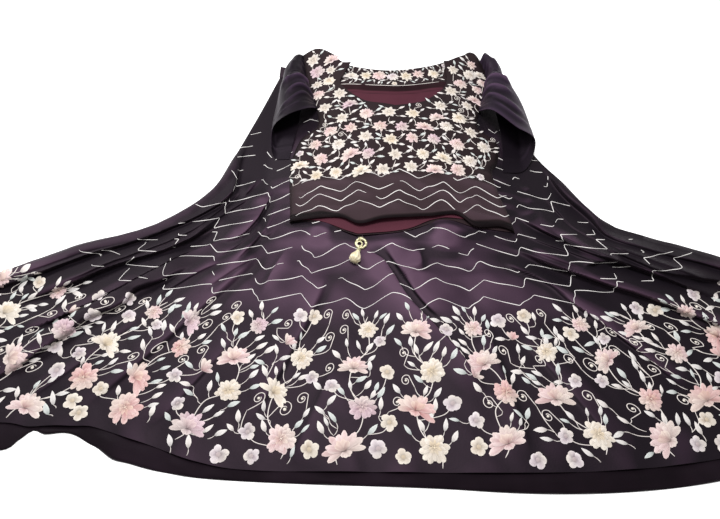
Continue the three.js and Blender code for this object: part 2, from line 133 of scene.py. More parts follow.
# --- Folds of the skirt's front -----------------------------------------------------------
# Each is a smooth line through places on the cloth, as shares across it and down it. reach is
# the width of its gentle side and rise its height. Its steep side, which it leans over, is on
# the left hand (1) or the right hand (-1) of someone who walks along the line.
SKIRT_FOLDS = [
    # reach, rise, steep side, (across, down) ...
    # left side
    (34, 14, 1, [(0.020, 0.18), (0.050, 0.32), (0.064, 0.38), (0.046, 0.45), (0.034, 0.50),
                 (0.036, 0.58), (0.030, 0.72), (0.026, 0.94)]),
    (22, 10, 1, [(0.150, 0.23), (0.143, 0.28), (0.113, 0.32), (0.100, 0.38)]),
    (26, 11, 1, [(0.176, 0.34), (0.178, 0.40), (0.184, 0.44), (0.185, 0.49), (0.165, 0.52)]),
    (32, 15, 1, [(0.126, 0.43), (0.107, 0.48), (0.103, 0.51), (0.099, 0.56), (0.086, 0.62),
                 (0.074, 0.70), (0.064, 0.82)]),
    (28, 13, 1, [(0.142, 0.53), (0.133, 0.60), (0.128, 0.65), (0.120, 0.73), (0.104, 0.86)]),
    (34, 14, 1, [(0.186, 0.58), (0.167, 0.64), (0.150, 0.68), (0.155, 0.72), (0.143, 0.76),
                 (0.141, 0.86), (0.136, 0.97)]),
    (20, 10, 1, [(0.264, 0.43), (0.253, 0.46), (0.250, 0.48), (0.232, 0.50)]),
    (12, 6, 1, [(0.022, 0.22), (0.014, 0.50), (0.014, 0.92)]),
    (15, 7, 1, [(0.078, 0.32), (0.068, 0.50), (0.058, 0.78)]),
    (13, 6, -1, [(0.150, 0.46), (0.122, 0.66), (0.112, 0.90)]),
    (18, 7, 1, [(0.215, 0.34), (0.222, 0.46), (0.228, 0.60)]),
    (24, 6, 1, [(0.300, 0.44), (0.310, 0.47), (0.322, 0.51)]),
    (16, 4, -1, [(0.286, 0.42), (0.300, 0.54), (0.312, 0.66)]),
    (28, 4, 1, [(0.196, 0.60), (0.190, 0.80), (0.182, 0.99)]),
    (60, 8, 1, [(0.262, 0.50), (0.248, 0.75), (0.236, 1.00)]),
    (34, 4, 1, [(0.318, 0.72), (0.308, 0.86), (0.300, 0.99)]),
    (12, 5, 1, [(0.118, 0.36), (0.092, 0.42), (0.080, 0.50)]),
    (12, 5, 1, [(0.200, 0.42), (0.197, 0.50), (0.186, 0.57)]),
    (11, 5, 1, [(0.206, 0.56), (0.190, 0.62), (0.178, 0.70)]),
    (12, 4, 1, [(0.252, 0.54), (0.236, 0.60), (0.228, 0.66)]),
    (60, 6, 1, [(0.395, 0.56), (0.385, 0.75), (0.372, 0.95)]),
    # middle
    (20, 10, 1, [(0.372, 0.45), (0.378, 0.48), (0.392, 0.51)]),
    (18, 8, -1, [(0.492, 0.45), (0.490, 0.48), (0.495, 0.51)]),
    (18, 8, 1, [(0.515, 0.45), (0.520, 0.48), (0.524, 0.51)]),
    (40, 11, 1, [(0.452, 0.47), (0.455, 0.51), (0.482, 0.545), (0.503, 0.585), (0.516, 0.62),
                 (0.530, 0.655), (0.552, 0.70), (0.580, 0.78), (0.600, 0.88)]),
    (34, 7, -1, [(0.475, 0.47), (0.486, 0.51), (0.506, 0.55), (0.526, 0.59), (0.540, 0.63),
                 (0.555, 0.665), (0.575, 0.71)]),
    (30, 11, -1, [(0.545, 0.46), (0.560, 0.49), (0.580, 0.512), (0.612, 0.522), (0.655, 0.515)]),
    (18, 6, 1, [(0.553, 0.51), (0.557, 0.545), (0.552, 0.58)]),
    (50, 4, -1, [(0.440, 0.78), (0.430, 0.90), (0.420, 1.00)]),
    (50, 4, 1, [(0.620, 0.70), (0.616, 0.85), (0.612, 0.99)]),
    # right side
    (44, 18, -1, [(0.640, 0.50), (0.690, 0.515), (0.735, 0.53), (0.787, 0.593), (0.823, 0.65),
                  (0.852, 0.70), (0.880, 0.80), (0.905, 0.93)]),
    (34, 15, -1, [(0.780, 0.36), (0.786, 0.395), (0.800, 0.433), (0.833, 0.46), (0.851, 0.50),
                  (0.858, 0.545), (0.885, 0.60), (0.905, 0.68), (0.925, 0.80)]),
    (30, 13, -1, [(0.895, 0.50), (0.901, 0.545), (0.906, 0.59), (0.912, 0.64), (0.947, 0.71),
                  (0.955, 0.80)]),
    (36, 14, -1, [(0.978, 0.20), (0.972, 0.29), (0.970, 0.38), (0.976, 0.45), (0.945, 0.51),
                  (0.948, 0.57), (0.955, 0.62), (0.972, 0.70), (0.974, 0.90)]),
    (22, 11, -1, [(0.830, 0.588), (0.858, 0.58), (0.890, 0.597)]),
    (13, 7, -1, [(0.815, 0.365), (0.851, 0.385), (0.890, 0.388)]),
    (13, 7, -1, [(0.797, 0.395), (0.822, 0.418), (0.880, 0.41)]),
    (12, 6, -1, [(0.830, 0.34), (0.870, 0.352), (0.910, 0.35)]),
    (18, 8, -1, [(0.924, 0.52), (0.930, 0.60), (0.945, 0.71)]),
    (26, 8, -1, [(0.742, 0.62), (0.770, 0.74), (0.785, 0.90)]),
    (22, 7, -1, [(0.860, 0.74), (0.874, 0.85), (0.880, 0.97)]),
    (20, 7, -1, [(0.935, 0.76), (0.940, 0.86), (0.950, 0.97)]),
    (40, 4, -1, [(0.660, 0.72), (0.680, 0.86), (0.690, 0.98)]),
    (12, 6, -1, [(0.700, 0.47), (0.745, 0.495), (0.800, 0.545), (0.835, 0.60)]),
    (12, 6, -1, [(0.760, 0.44), (0.800, 0.48), (0.838, 0.53), (0.862, 0.60)]),
    (11, 5, -1, [(0.870, 0.44), (0.885, 0.52), (0.895, 0.60), (0.915, 0.68)]),
    (11, 5, -1, [(0.925, 0.36), (0.925, 0.46), (0.930, 0.56)]),
    (13, 5, -1, [(0.700, 0.555), (0.740, 0.60), (0.768, 0.67)]),
]
STEEP_SHARE, STEEP_LEAST = 0.2, 5.0  # reach of the steep side: a share of the gentle one's, or more
LEAN = 1.0  # how far a fold leans over, as a share of its height
FOLD_START, FOLD_END = 0.22, 0.72  # a fold is at its full height between these shares of its length

# Creases of the choli's front: from one place to another, then half width and height.
CHOLI_CREASES = [
    (-176, 96, -60, 62, 9, 2.6),
    (-170, 58, -20, 34, 8, 2.2),
    (-120, 20, 40, 6, 8, 1.8),
    (60, 70, 190, 20, 9, 2.8),
    (110, 104, 236, 60, 10, 3.2),
    (150, 12, 240, -8, 9, 2.6),
    (176, 118, 236, 104, 8, 2.4),
    (-186, 132, -130, 118, 8, 2.4),
    (-20, 92, 70, 84, 12, 1.6),
    (-150, 206, -110, 170, 9, 2.0),
    (178, 214, 214, 160, 9, 2.2),
    (-152, 300, -120, 240, 10, 1.8),
    (196, 306, 176, 236, 10, 1.8),
    (-100, 350, -120, 300, 10, 1.6),
    (176, 360, 190, 300, 10, 1.6),
]


# --- Helpers for numbers ------------------------------------------------------------------
def bell(distance, width):
    return np.exp(-((distance / width) ** 2))


def smoothstep(value, low, high):
    share = np.clip((value - low) / (high - low), 0, 1)
    return share * share * (3 - 2 * share)


def within(value, rise_from, rise_to, fall_from, fall_to):
    """1 in the middle of a stretch, easing down to 0 at both its ends."""
    return smoothstep(value, rise_from, rise_to) * (1 - smoothstep(value, fall_from, fall_to))


def unit(vectors):
    """The vectors at length 1; one that has no length stays so."""
    return vectors / np.maximum(np.linalg.norm(vectors, axis=-1, keepdims=True), 1e-9)


def running(lengths):
    """The sums of the lengths so far, from 0."""
    return np.concatenate([[0], np.cumsum(lengths)])


def catmull_rom(rows, count):
    """count points, evenly in parameter, on the smooth curve through the rows."""
    p = np.array(rows, float)
    p = np.vstack([p[:1], p, p[-1:]])
    t = np.linspace(0, len(rows) - 1, count)
    i = np.minimum(t.astype(int), len(rows) - 2)
    f = (t - i)[:, None]
    a, b, c, d = p[i], p[i + 1], p[i + 2], p[i + 3]
    return b + 0.5 * f * (c - a + f * (2 * a - 5 * b + 4 * c - d + f * (3 * (b - c) + d - a)))


def evenly(points, count):
    """The same line in count points that are evenly spaced along it."""
    along = running(np.linalg.norm(np.diff(points, axis=0), axis=1))
    at = np.linspace(0, along[-1], count)
    return np.stack([np.interp(at, along, column) for column in points.T], axis=1)


def smooth_table(rows):
    """A function of the first column that gives the second, on a smooth curve."""
    curve = catmull_rom(rows, 60 * len(rows))
    keys = np.maximum.accumulate(curve[:, 0])
    return lambda at: np.interp(at, keys, curve[:, 1])


def centripetal(points, shares):
    """Points on the centripetal Catmull-Rom curve, which doesn't overshoot."""
    p = np.array(points, float)
    p = np.vstack([2 * p[:1] - p[1:2], p, 2 * p[-1:] - p[-2:-1]])
    t = np.asarray(shares) * (len(points) - 1)
    i = np.minimum(t.astype(int), len(points) - 2)
    f = (t - i)[:, None]
    a, b, c, d = p[i], p[i + 1], p[i + 2], p[i + 3]
    ab, bc, cd = (np.linalg.norm(v, axis=1)[:, None] ** 0.5 for v in (b - a, c - b, d - c))
    leave = ((b - a) / ab - (c - a) / (ab + bc) + (c - b) / bc) * bc
    arrive = ((c - b) / bc - (d - b) / (bc + cd) + (d - c) / cd) * bc
    square = 3 * (c - b) - 2 * leave - arrive
    cube = 2 * (b - c) + leave + arrive
    return b + f * (leave + f * (square + f * cube))


def beside(x, y, x0, y0, x1, y1):
    """How far each place is along a straight line and to its left, and the line's length."""
    length = math.hypot(x1 - x0, y1 - y0)
    ux, uy = (x1 - x0) / length, (y1 - y0) / length
    return (x - x0) * ux + (y - y0) * uy, (y - y0) * ux - (x - x0) * uy, length


def bumps(table, x, y):
    """Sum of round bumps: the place, half width, half length and height of each."""
    return sum(rise * bell(x - x0, wide) * bell(y - y0, long) for x0, y0, wide, long, rise in table)


def blurred(values, rounds):
    """The grid of values, averaged with its neighbours a number of times."""
    for _ in range(rounds):
        edge = np.pad(values, 1, mode="edge")
        sides = edge[:-2, 1:-1] + edge[2:, 1:-1] + edge[1:-1, :-2] + edge[1:-1, 2:]
        values = 0.5 * values + 0.125 * sides
    return values


def to_world(points):
    return (np.asarray(points, float) + (0, SHIFT_Y, 0)) * MM


# --- The skirt's shape --------------------------------------------------------------------
SKIRT_LENGTH = 850.0  # of the cloth from waist to hem in the middle
SIDES_LONGER = 0.12  # the cloth is this share longer at its sides
LEFT_LINE = evenly(catmull_rom(LEFT_FOLD, 2000), 800)
RIGHT_LINE = evenly(catmull_rom(RIGHT_FOLD, 2000), 800)
LINE_SHARES = np.linspace(0, 1, 800)


def waist_seam(x):
    return WAIST["seam_y"] + WAIST["rise"] * ((x - WAIST["x"]) / WAIST["half"]) ** 2


# How much higher the hems lie than their smooth lines: the place along x, and the rise.
FRONT_HEM["waves"] = smooth_table([
    (-950, 0), (-700, 0), (-600, 14), (-550, 1), (-495, -5), (-455, 7), (-405, 20), (-357, 23),
    (-290, 9), (-210, 0), (0, 0), (950, 0)])
BACK_HEM["waves"] = smooth_table([
    (-950, 0), (-700, 0), (-590, -5), (-566, 6), (-548, 15), (-528, 0), (-505, -5), (-465, -5),
    (-440, 3), (-416, 7), (-385, 16), (-335, 15), (-275, 11), (-130, 9), (60, 7), (300, 0), (950, 0)])


def hem_line(hem, x):
    """y of a hem of the skirt."""
    out = np.abs(x / HALF_SPREAD)
    rise = (CORNER_Y - hem["y"]) * out**HEM_CURVE
    tilt = hem["tilt"] * (x / HALF_SPREAD) * (1 - out**2)
    dent = hem["dent"] * bell(x - hem["dent_x"], hem["dent_width"])
    return hem["y"] + rise + tilt + dent + hem["waves"](x)


def side_points(line, down):
    """x and y of the places that lie this share down a side fold."""
    return [np.interp(down, LINE_SHARES, column) for column in line.T]


def skirt_plan(across, down, hem=FRONT_HEM):
    """Place on the floor of a point of the skirt, from the left side fold to the right one."""
    side = 2 * across - 1
    shares = [side * (side - 1) / 2, 1 - side**2, side * (side + 1) / 2]

    def blend(a, b, c):
        return shares[0] * a + shares[1] * b + shares[2] * c

    left_x, left_y = side_points(LEFT_LINE, down)
    right_x, right_y = side_points(RIGHT_LINE, down)
    middle_x = WAIST["x"] * (1 - down)
    middle_y = WAIST["seam_y"] + (hem["y"] - WAIST["seam_y"]) * down
    top_y = WAIST["seam_y"] + WAIST["rise"]
    waist_x = blend(WAIST["x"] - WAIST["half"], WAIST["x"], WAIST["x"] + WAIST["half"])
    hem_x = blend(-HALF_SPREAD, 0, HALF_SPREAD)
    to_waist = waist_seam(waist_x) - blend(top_y, WAIST["seam_y"], top_y)
    to_hem = hem_line(hem, hem_x) - blend(CORNER_Y, hem["y"], CORNER_Y)
    y = blend(left_y, middle_y, right_y) + (1 - down) ** 2 * to_waist + down**3 * to_hem
    return blend(left_x, middle_x, right_x), y


def mound_height(x, y):
    """Height of the bunched cloth under the choli."""
    plan = np.maximum(0, 1 - ((x - MOUND["x"]) / MOUND["half"]) ** 2) ** MOUND["round"]
    return MOUND["height"] * plan * smoothstep(y, MOUND["foot_y"], MOUND["crest_y"])


def openness(x, y):
    """Share of a fold that is left under the choli and its sleeves."""
    away = np.abs(x - CHOLI_MIDDLE)
    under_body = (1 - smoothstep(away, 225, 290)) * smoothstep(y, -110, -50)
    under_sleeve = (1 - smoothstep(away, 300, 350)) * smoothstep(y, 60, 120)
    return 1 - np.maximum(under_body, under_sleeve)


def line_offsets(line, x, y):
    """How far each place lies to the left of a line, its share along the line, and the nearest
    stretch's direction to the left."""
    spans = np.diff(line, axis=0)
    lengths = np.hypot(*spans.T)
    before = running(lengths)
    nearest = np.full(x.shape, np.inf)
    side, share, left_x, left_y = (np.zeros_like(x) for _ in range(4))
    for (x0, y0), (dx, dy), length, start in zip(line, spans, lengths, before):
        t = np.clip(((x - x0) * dx + (y - y0) * dy) / length**2, 0, 1)
        off_x, off_y = x - x0 - dx * t, y - y0 - dy * t
        gap = np.hypot(off_x, off_y)
        closer = gap < nearest
        nearest = np.where(closer, gap, nearest)
        side = np.where(closer, dx * off_y - dy * off_x, side)
        share = np.where(closer, (start + length * t) / before[-1], share)
        left_x, left_y = np.where(closer, -dy / length, left_x), np.where(closer, dx / length, left_y)
    return np.copysign(nearest, side), share, left_x, left_y


def fold_shapes(x, y):
    """Height of the skirt's folds, how far they lean along x and y, how near their steep sides
    are, and the hollows at the foot of those. Near a steep side the cloth gets a painted highlight,
    and in a hollow painted shade."""
    height, lean_x, lean_y, near, hollow = (np.zeros_like(x) for _ in range(5))
    for reach, rise, steep, places in SKIRT_FOLDS:
        across, down = catmull_rom(places, 7 * len(places)).T
        line = np.stack(skirt_plan(across, down), axis=1)
        margin = 3 * reach
        low, high = line.min(axis=0) - margin, line.max(axis=0) + margin
        at = (x > low[0]) & (x < high[0]) & (y > low[1]) & (y < high[1])
        off, share, left_x, left_y = line_offsets(line, x[at], y[at])
        lean = LEAN * rise
        off = off * steep + lean
        steep_reach = max(STEEP_LEAST, STEEP_SHARE * reach)
        ends = within(share, 0, FOLD_START, FOLD_END, 1)
        shape = ends * bell(off, np.where(off > 0, steep_reach, reach))
        height[at] += rise * shape
        lean_x[at] += steep * lean * shape * left_x
        lean_y[at] += steep * lean * shape * left_y
        near[at] += ends * bell(off - 0.7 * steep_reach, 1.6 * steep_reach) * min(1, rise / 8)
        foot = lean + 1.2 * steep_reach
        beyond = bell(off - foot, np.where(off > foot, 1.2 * rise, steep_reach))
        hollow[at] += ends * beyond * min(1, rise / 11)
    return height, lean_x, lean_y, near, hollow


def skirt_top(x, y):
    """Upper face of the skirt's front where it has no fold."""
    return FRONT_FLOOR + mound_height(x, y) + CLOTH


def ripple(x, y, seed, lengths, height):
    """Low uneven waves, as a sum of a few that run in different directions."""
    draw = random.Random(seed)
    total = np.zeros_like(x)
    for length in lengths:
        heading = draw.uniform(0, math.pi)
        phase = draw.uniform(0, 2 * math.pi)
        warp = 0.35 * length * np.sin(2 * math.pi * (x * math.sin(heading)) / (3.1 * length) + phase)
        run = x * math.cos(heading) + y * math.sin(heading) + warp
        total += np.sin(2 * math.pi * run / length + phase)
    return height * total / math.sqrt(len(lengths))


def rolled(z, inwards, radius, foot):
    """Height z, rounded down to foot over the last stretch before an edge."""
    share = np.clip(inwards / radius, 0, 1)
    return foot + (z - foot) * np.sqrt(1 - (1 - share) ** 2)


# Places down the skirt's front, and the share of the mesh's rows above each: the rows are
# closer together where the folds run across them.
DOWN_KNOTS, ROW_KNOTS = (0.0, 0.30, 0.68, 1.0), (0.0, 0.18, 0.76, 1.0)
LANE_PULL = 2.6  # how much closer together the mesh's columns are at a fold's steep side
SIDE_ROLL = 9.0  # radius of the rounded side folds
HEM_WAVES = 1.6  # mean height of the small waves along the front's hem

# Painted light and shade of the skirt: how light it is painted where it is flat, and what a fold
# adds or takes: painted light for each millimetre that it stands over what lies round it, painted
# shade in the hollow at its foot, and a painted highlight near its steep side.
FLAT_SHADE, RELIEF_SHADE, HOLLOW_SHADE, STEEP_SHADE = 0.62, 0.13, 0.95, 0.20
RELIEF_RANGE = (-0.7, 0.38)


def row_places(rows):
    """How far down the skirt each row of its mesh lies."""
    return np.interp(np.linspace(0, 1, rows + 1), ROW_KNOTS, DOWN_KNOTS)


def skirt_lanes(columns, rows):
    """Where the columns run, as shares across in each row: closer together at the folds."""
    fine = np.linspace(0, 1, 1201)
    across, down = np.meshgrid(fine, row_places(rows))
    density = 1 + LANE_PULL * np.minimum(fold_shapes(*skirt_plan(across, down))[3], 1)
    total = np.cumsum((density[:, 1:] + density[:, :-1]) / 2, axis=1)
    total = np.pad(total, ((0, 0), (1, 0))) / total[:, -1:]
    even = np.linspace(0, 1, columns + 1)
    return blurred(np.stack([np.interp(even, row, fine) for row in total]), 4)


def skirt_grid(lanes):
    """Upper face of the skirt's front, in rows from the waist to the hem, and its painted light and shade.
    """
    down = np.repeat(row_places(len(lanes) - 1)[:, None], lanes.shape[1], axis=1)
    lanes[:, 0], lanes[:, -1] = 0, 1
    x, y = skirt_plan(lanes, down)
    opened = openness(x, y)
    folds, lean_x, lean_y, near, hollow = fold_shapes(x, y)
    waves = ripple(x, y, seed=3, lengths=(150, 110, 86, 64, 47), height=0.55)
    hem_waves = HEM_WAVES * bell(1 - down, 0.06) * (1 + np.sin(x / 23 + 2 * np.sin(x / 61)))
    z = skirt_top(x, y) + opened * (folds + waves + hem_waves) + bumps(HEM_PUFFS, x, y)
    width = np.hypot(x[:, -1:] - x[:, :1], y[:, -1:] - y[:, :1])
    inwards = np.minimum(lanes, 1 - lanes) * width
    z = rolled(z, inwards, SIDE_ROLL, CLOTH)
    held = opened * smoothstep(inwards, 2, 14) * (1 - smoothstep(down, 0.96, 1))
    grid = np.stack([x + held * lean_x, y + held * lean_y, np.maximum(z, CLOTH)], axis=2)
    # Painted light and shade: lighter where the cloth stands up, dark in the folds' hollows, a painted
    # highlight near their steep sides, and painted shade at the sides and under the choli.
    relief = np.clip((z - blurred(z, 60)) * RELIEF_SHADE, *RELIEF_RANGE)
    shade = FLAT_SHADE + relief - HOLLOW_SHADE * np.minimum(1, hollow * opened)
    shade += STEEP_SHADE * np.minimum(1, near * opened)
    return grid, np.clip(shade - painted_skirt_shade(lanes, down) - hem_shadow(x, y), 0, 1)


def painted_skirt_shade(lanes, down):
    """How much darker the skirt is: painted shade at its sides, along its rim and beside the choli, and
    darker in its border.
    """
    side = 2 * lanes - 1
    border = 0.50 * smoothstep(down, 0.64, 0.75)
    left = 0.30 * smoothstep(-side, 0.35, 0.85)
    right = 0.44 * smoothstep(side, 0.28, 0.70)
    upper = 0.50 * (1 - smoothstep(down, 0.16, 0.44))
    rim = 0.52 * smoothstep(np.abs(side), 0.78, 0.94) * (1 - smoothstep(down, 0.6, 0.75))
    most = np.maximum(np.maximum(border, upper), np.maximum(left, right))
    return most + rim + 0.12 * np.minimum(border, left + right)


# Bumps just below the choli: where the skirt puffs up, and the spots of painted shadow in the hollows
# between.
HEM_PUFFS = [(-118, -34, 24, 22, 9.0), (114, -40, 26, 24, 10.0), (4, -66, 34, 18, 4.0)]
HEM_SHADOW_SPOTS = [
    (-91, -40, 12, 17, 1.0),
    (57, -46, 17, 12, 1.0),
    (84, -34, 13, 13, 1.0),
    (170, -40, 30, 9, 1.0),
]


def hem_shadow(x, y):
    """Painted shadow: the dark line and the dark pockets under the choli's hem."""
    line = 0.5 * bell(y - back_hem(x) + 6, 7) * smoothstep(x, -195, -175) * (1 - smoothstep(x, 235, 255))
    return line + 0.75 * np.minimum(1, bumps(HEM_SHADOW_SPOTS, x, y))


def skirt_back_grid(columns, rows):
    """Upper face of the skirt's back, which shows below the front's hem."""
    inset = 0.003
    across, step = np.meshgrid(np.linspace(inset, 1 - inset, columns + 1), np.linspace(0, 1, rows + 1))
    down = 1 - (1 - step) ** 2.4
    x, y = skirt_plan(across, down, BACK_HEM)
    below = smoothstep(hem_line(FRONT_HEM, x) - y, 1, 12)
    waves = 1.6 + ripple(x, y, seed=8, lengths=(88, 61, 43), height=0.9)
    waves += 0.9 * np.sin(x / 31 + 2.5 * np.sin(x / 83))
    z = rolled(CLOTH + below * np.maximum(waves, 0), (1 - down) * SKIRT_LENGTH, radius=4.0, foot=0.4)
    return np.stack([x, y, z], axis=2)


# The bunched cloth between the skirt's front and back, under the choli.
GATHERS = {"left": -199.0, "right": 249.0, "foot": -149.0}


def gathers_grid(columns, rows):
    """Upper face of the bunched layers, drawn up into small gathers at the waist."""
    across, up = np.meshgrid(np.linspace(0, 1, columns + 1), np.linspace(0, 1, rows + 1))
    x = GATHERS["left"] + (GATHERS["right"] - GATHERS["left"]) * across
    y = GATHERS["foot"] + (waist_seam(x) - 3 - GATHERS["foot"]) * up
    gathers = 0.5 * np.sin(x / 2.9 + 2 * np.sin(x / 23)) * smoothstep(up, 0.35, 0.95)
    z = FRONT_FLOOR + 1.0 + np.maximum(mound_height(x, y) - 2.4, 0) + 0.6 * gathers
    return np.stack([x, y, z], axis=2)


# --- The choli's shape --------------------------------------------------------------------
def cord_x(y):
    share = (CORD["top_y"] - y) / (CORD["top_y"] - CORD["end_y"])
    straight = CORD["top_x"] + (CORD["end_x"] - CORD["top_x"]) * share
    return straight + CORD["sway"] * np.sin(2 * math.pi * share)


def band_step(y):
    return WAIST["thick"] * smoothstep(y, 270, 352)


def rest_height(x, y):
    """Upper face of what the choli lies on."""
    ridge = CORD_RIDGE * bell(x - cord_x(y), 45) * (1 - smoothstep(y, CORD["top_y"], 420))
    lift = SHOULDER_LIFT
    shoulder = lift["height"] * smoothstep(y, lift["from_y"], lift["to_y"])
    return skirt_top(x, y) + band_step(y) + ridge + shoulder


def back_top(x, y):
    return rest_height(x, y) + REST_GAP + CLOTH


def lining_top(x, y):
    return back_top(x, y) + REST_GAP + CLOTH


LIFTED_HEM = [(10, -20, 90, 40, 7)]  # where the front's hem stands away from the lining


def front_floor(x, y):
    return lining_top(x, y) + FRONT_LOFT + bumps(LIFTED_HEM, x, y)


def creases(x, y):
    height = np.zeros_like(x)
    for *line, width, rise in CHOLI_CREASES:
        along, off, length = beside(x, y, *line)
        off = off + 5 * np.sin(along / 26)
        ends = within(along, -14, 20, length - 20, length + 14)
        height += rise * ends * bell(off, np.where(off > 0, width * 0.6, width * 1.3))
    return height


def front_top(x, y):
    """Upper face of the choli's front."""
    waves = ripple(x, y, seed=11, lengths=(120, 83, 61, 44), height=0.5)
    return front_floor(x, y) + CLOTH + creases(x, y) + waves + 0.5


choli_left, choli_right = smooth_table(CHOLI_LEFT), smooth_table(CHOLI_RIGHT)
neck_left, neck_right = smooth_table(NECK_LEFT), smooth_table(NECK_RIGHT)
shoulder_line, back_neck = smooth_table(SHOULDER_LINE), smooth_table(BACK_NECK)
front_hem, back_hem = smooth_table(FRONT_CHOLI_HEM), smooth_table(BACK_CHOLI_HEM)
lining_hem, lining_crest = smooth_table(LINING_HEM), smooth_table(LINING_TOP)


def choli_place(x, base, hem, top):
    """A place on the choli, from its height base before the hem and the top are drawn to shape."""
    share = (base - CHOLI_FOOT) / (CHOLI_TOP - CHOLI_FOOT)
    to_hem = (1 - share) ** 4 * (hem(x) - CHOLI_FOOT)
    to_top = share**6 * (top(x) - CHOLI_TOP)
    return x, base + to_hem + to_top


EDGE_ROLL = 7.0  # radius of the choli's rounded sides
HEM_BEAD = (5.0, 4.0, 2.6)  # the front's thicker hem: how far up its middle is, half width, height
BODY_ROWS = 0.62  # share of the rows of the choli's front that lie below its neckline


def front_half(side, columns, rows):
    """Half of the choli's front: from its outer side to the middle or the neckline."""
    outer_line, neck = (choli_left, neck_left) if side < 0 else (choli_right, neck_right)
    share = np.linspace(0, 1, columns + 1)
    lower = np.linspace(CHOLI_FOOT, NECK_BOTTOM, int(rows * BODY_ROWS) + 1)[:-1]
    base = np.concatenate([lower, np.linspace(NECK_BOTTOM, CHOLI_TOP, rows - len(lower) + 1)])
    outer = outer_line(base)[:, None]
    inner = np.where(base > NECK_BOTTOM, neck(base), CHOLI_MIDDLE)[:, None]
    x = outer + (inner - outer) * share
    x, y = choli_place(x, np.repeat(base[:, None], columns + 1, axis=1), front_hem, shoulder_line)
    up, width, height = HEM_BEAD
    z = front_top(x, y) + height * bell(y - front_hem(x) - up, width)
    closed = rolled(z, np.abs(x - outer), EDGE_ROLL, back_top(x, y))
    open_share = smoothstep(base, 225, 285)[:, None]
    return np.stack([x, y, z * open_share + closed * (1 - open_share)], axis=2)


def front_shade(grid):
    """How light the choli's front is painted: painted light on the ridges of its creases, darker along its
    sides and where it is worked with flowers, and dark in its hem, which is turned up deeper at the sides.
    """
    x, y = grid[..., 0], grid[..., 1]
    turned_up = 6 + 10 * (1 - smoothstep(x, -125, -80)) + 9 * smoothstep(x, 150, 185)
    hem = 1 - smoothstep(y - front_hem(x), 0.8 * turned_up, 1.15 * turned_up)
    edges = bell(x - choli_left(y), 9) + bell(x - choli_right(y), 9)
    worked = smoothstep(y, CHOLI_FLOOR_Y - 14, CHOLI_FLOOR_Y + 10)
    return np.clip(0.62 + 0.06 * creases(x, y) - 0.60 * hem - 0.25 * edges - 0.22 * worked, 0, 1)


def back_grid(columns, rows):
    share, base = np.meshgrid(np.linspace(0, 1, columns + 1), np.linspace(CHOLI_FOOT, CHOLI_TOP, rows + 1))
    left, right = choli_left(base), choli_right(base)
    x, y = choli_place(left + (right - left) * share, base, back_hem, back_neck)
    return np.stack([x, y, back_top(x, y)], axis=2)


def lining_grid(columns, rows):
    share, rise = np.meshgrid(np.linspace(0, 1, columns + 1), np.linspace(0, 1, rows + 1))
    base = LINING_FOOT + (LINING_CREST - LINING_FOOT) * rise
    left, right = choli_left(base) + LINING_INSET, choli_right(base) - LINING_INSET
    x = left + (right - left) * share
    to_hem = (1 - rise) ** 3 * (lining_hem(x) - LINING_FOOT)
    to_top = rise**4 * (lining_crest(x) - LINING_CREST)
    y = base + to_hem + to_top
    waves = ripple(x, y, seed=5, lengths=(90, 52, 37), height=0.35)
    return np.stack([x, y, lining_top(x, y) + waves], axis=2)


# Folds of a sleeve: from one place to another, round it and down it as shares, then the half
# width as a share and the height.
SLEEVE_FOLDS = [
    (0.03, 0.55, 0.46, 0.60, 0.028, 6.0),
    (0.02, 0.70, 0.38, 0.73, 0.024, 5.4),
    (0.10, 0.80, 0.50, 0.86, 0.022, 4.8),
    (0.22, 0.90, 0.52, 0.93, 0.018, 3.2),
    (0.05, 0.47, 0.16, 0.66, 0.030, 2.4),
    (0.30, 0.46, 0.36, 0.62, 0.030, 2.6),
    (0.10, 0.12, 0.16, 0.38, 0.035, 2.4),
    (0.28, 0.16, 0.30, 0.38, 0.040, 2.6),
    (0.62, 0.45, 0.70, 0.95, 0.050, 2.0),
    (0.80, 0.50, 0.84, 0.98, 0.040, 2.0),
]


# Shares down a sleeve: its seam at the sleeve's edges, how far the seam sags between them, and
# the stitch of its hem.
SLEEVE_SEAM, SEAM_SAG, SLEEVE_STITCH = 0.43, 0.05, 0.905
PUFF = 5.0  # how far a sleeve stands out below its seam

# Painted light and shade of a sleeve by its side: the shade of its cloth, the painted light on the
# puff below its seam, and how far round the painted light reaches.
SLEEVE_PAINTED_LIGHT = {-1: (0.04, 0.36, 0.28), 1: (0.34, 0.22, 0.62)}


def sleeve_rings(table, side, shares, round_it):
    """A sleeve's form without its folds: rings from the armhole's front round to its back."""
    base = np.interp(shares, np.linspace(0, 1, len(ARMHOLE_ROWS)), ARMHOLE_ROWS[::-1])
    outer = (choli_left if side < 0 else choli_right)(base)
    x, y = choli_place(outer, base, front_hem, shoulder_line)
    seam = np.stack([x + 0.6 * side, y, front_top(x, y) - CLOTH - 0.8], axis=1)
    lanes = [centripetal([row[k] for row in table], shares) for k in range(len(table[0]))]
    grid = np.array([centripetal(ring, round_it) for ring in zip(seam, *lanes)])
    lowest = skirt_top(grid[..., 0], grid[..., 1]) + REST_GAP + CLOTH
    grid[..., 2] = np.maximum(grid[..., 2], lowest)
    return grid


def sleeve_folds(a, b):
    """Height of the gathers at a sleeve's armhole and of its folds, a round it and b down it."""
    height = 0.9 * np.sin(b * 61 + 3 * np.sin(b * 9)) * bell(a, 0.09)
    for *line, width, rise in SLEEVE_FOLDS:
        along, off, length = beside(a, b, *line)
        ends = within(along / length, -0.15, 0.25, 0.75, 1.15)
        height += rise * ends * bell(off, width)
    return height


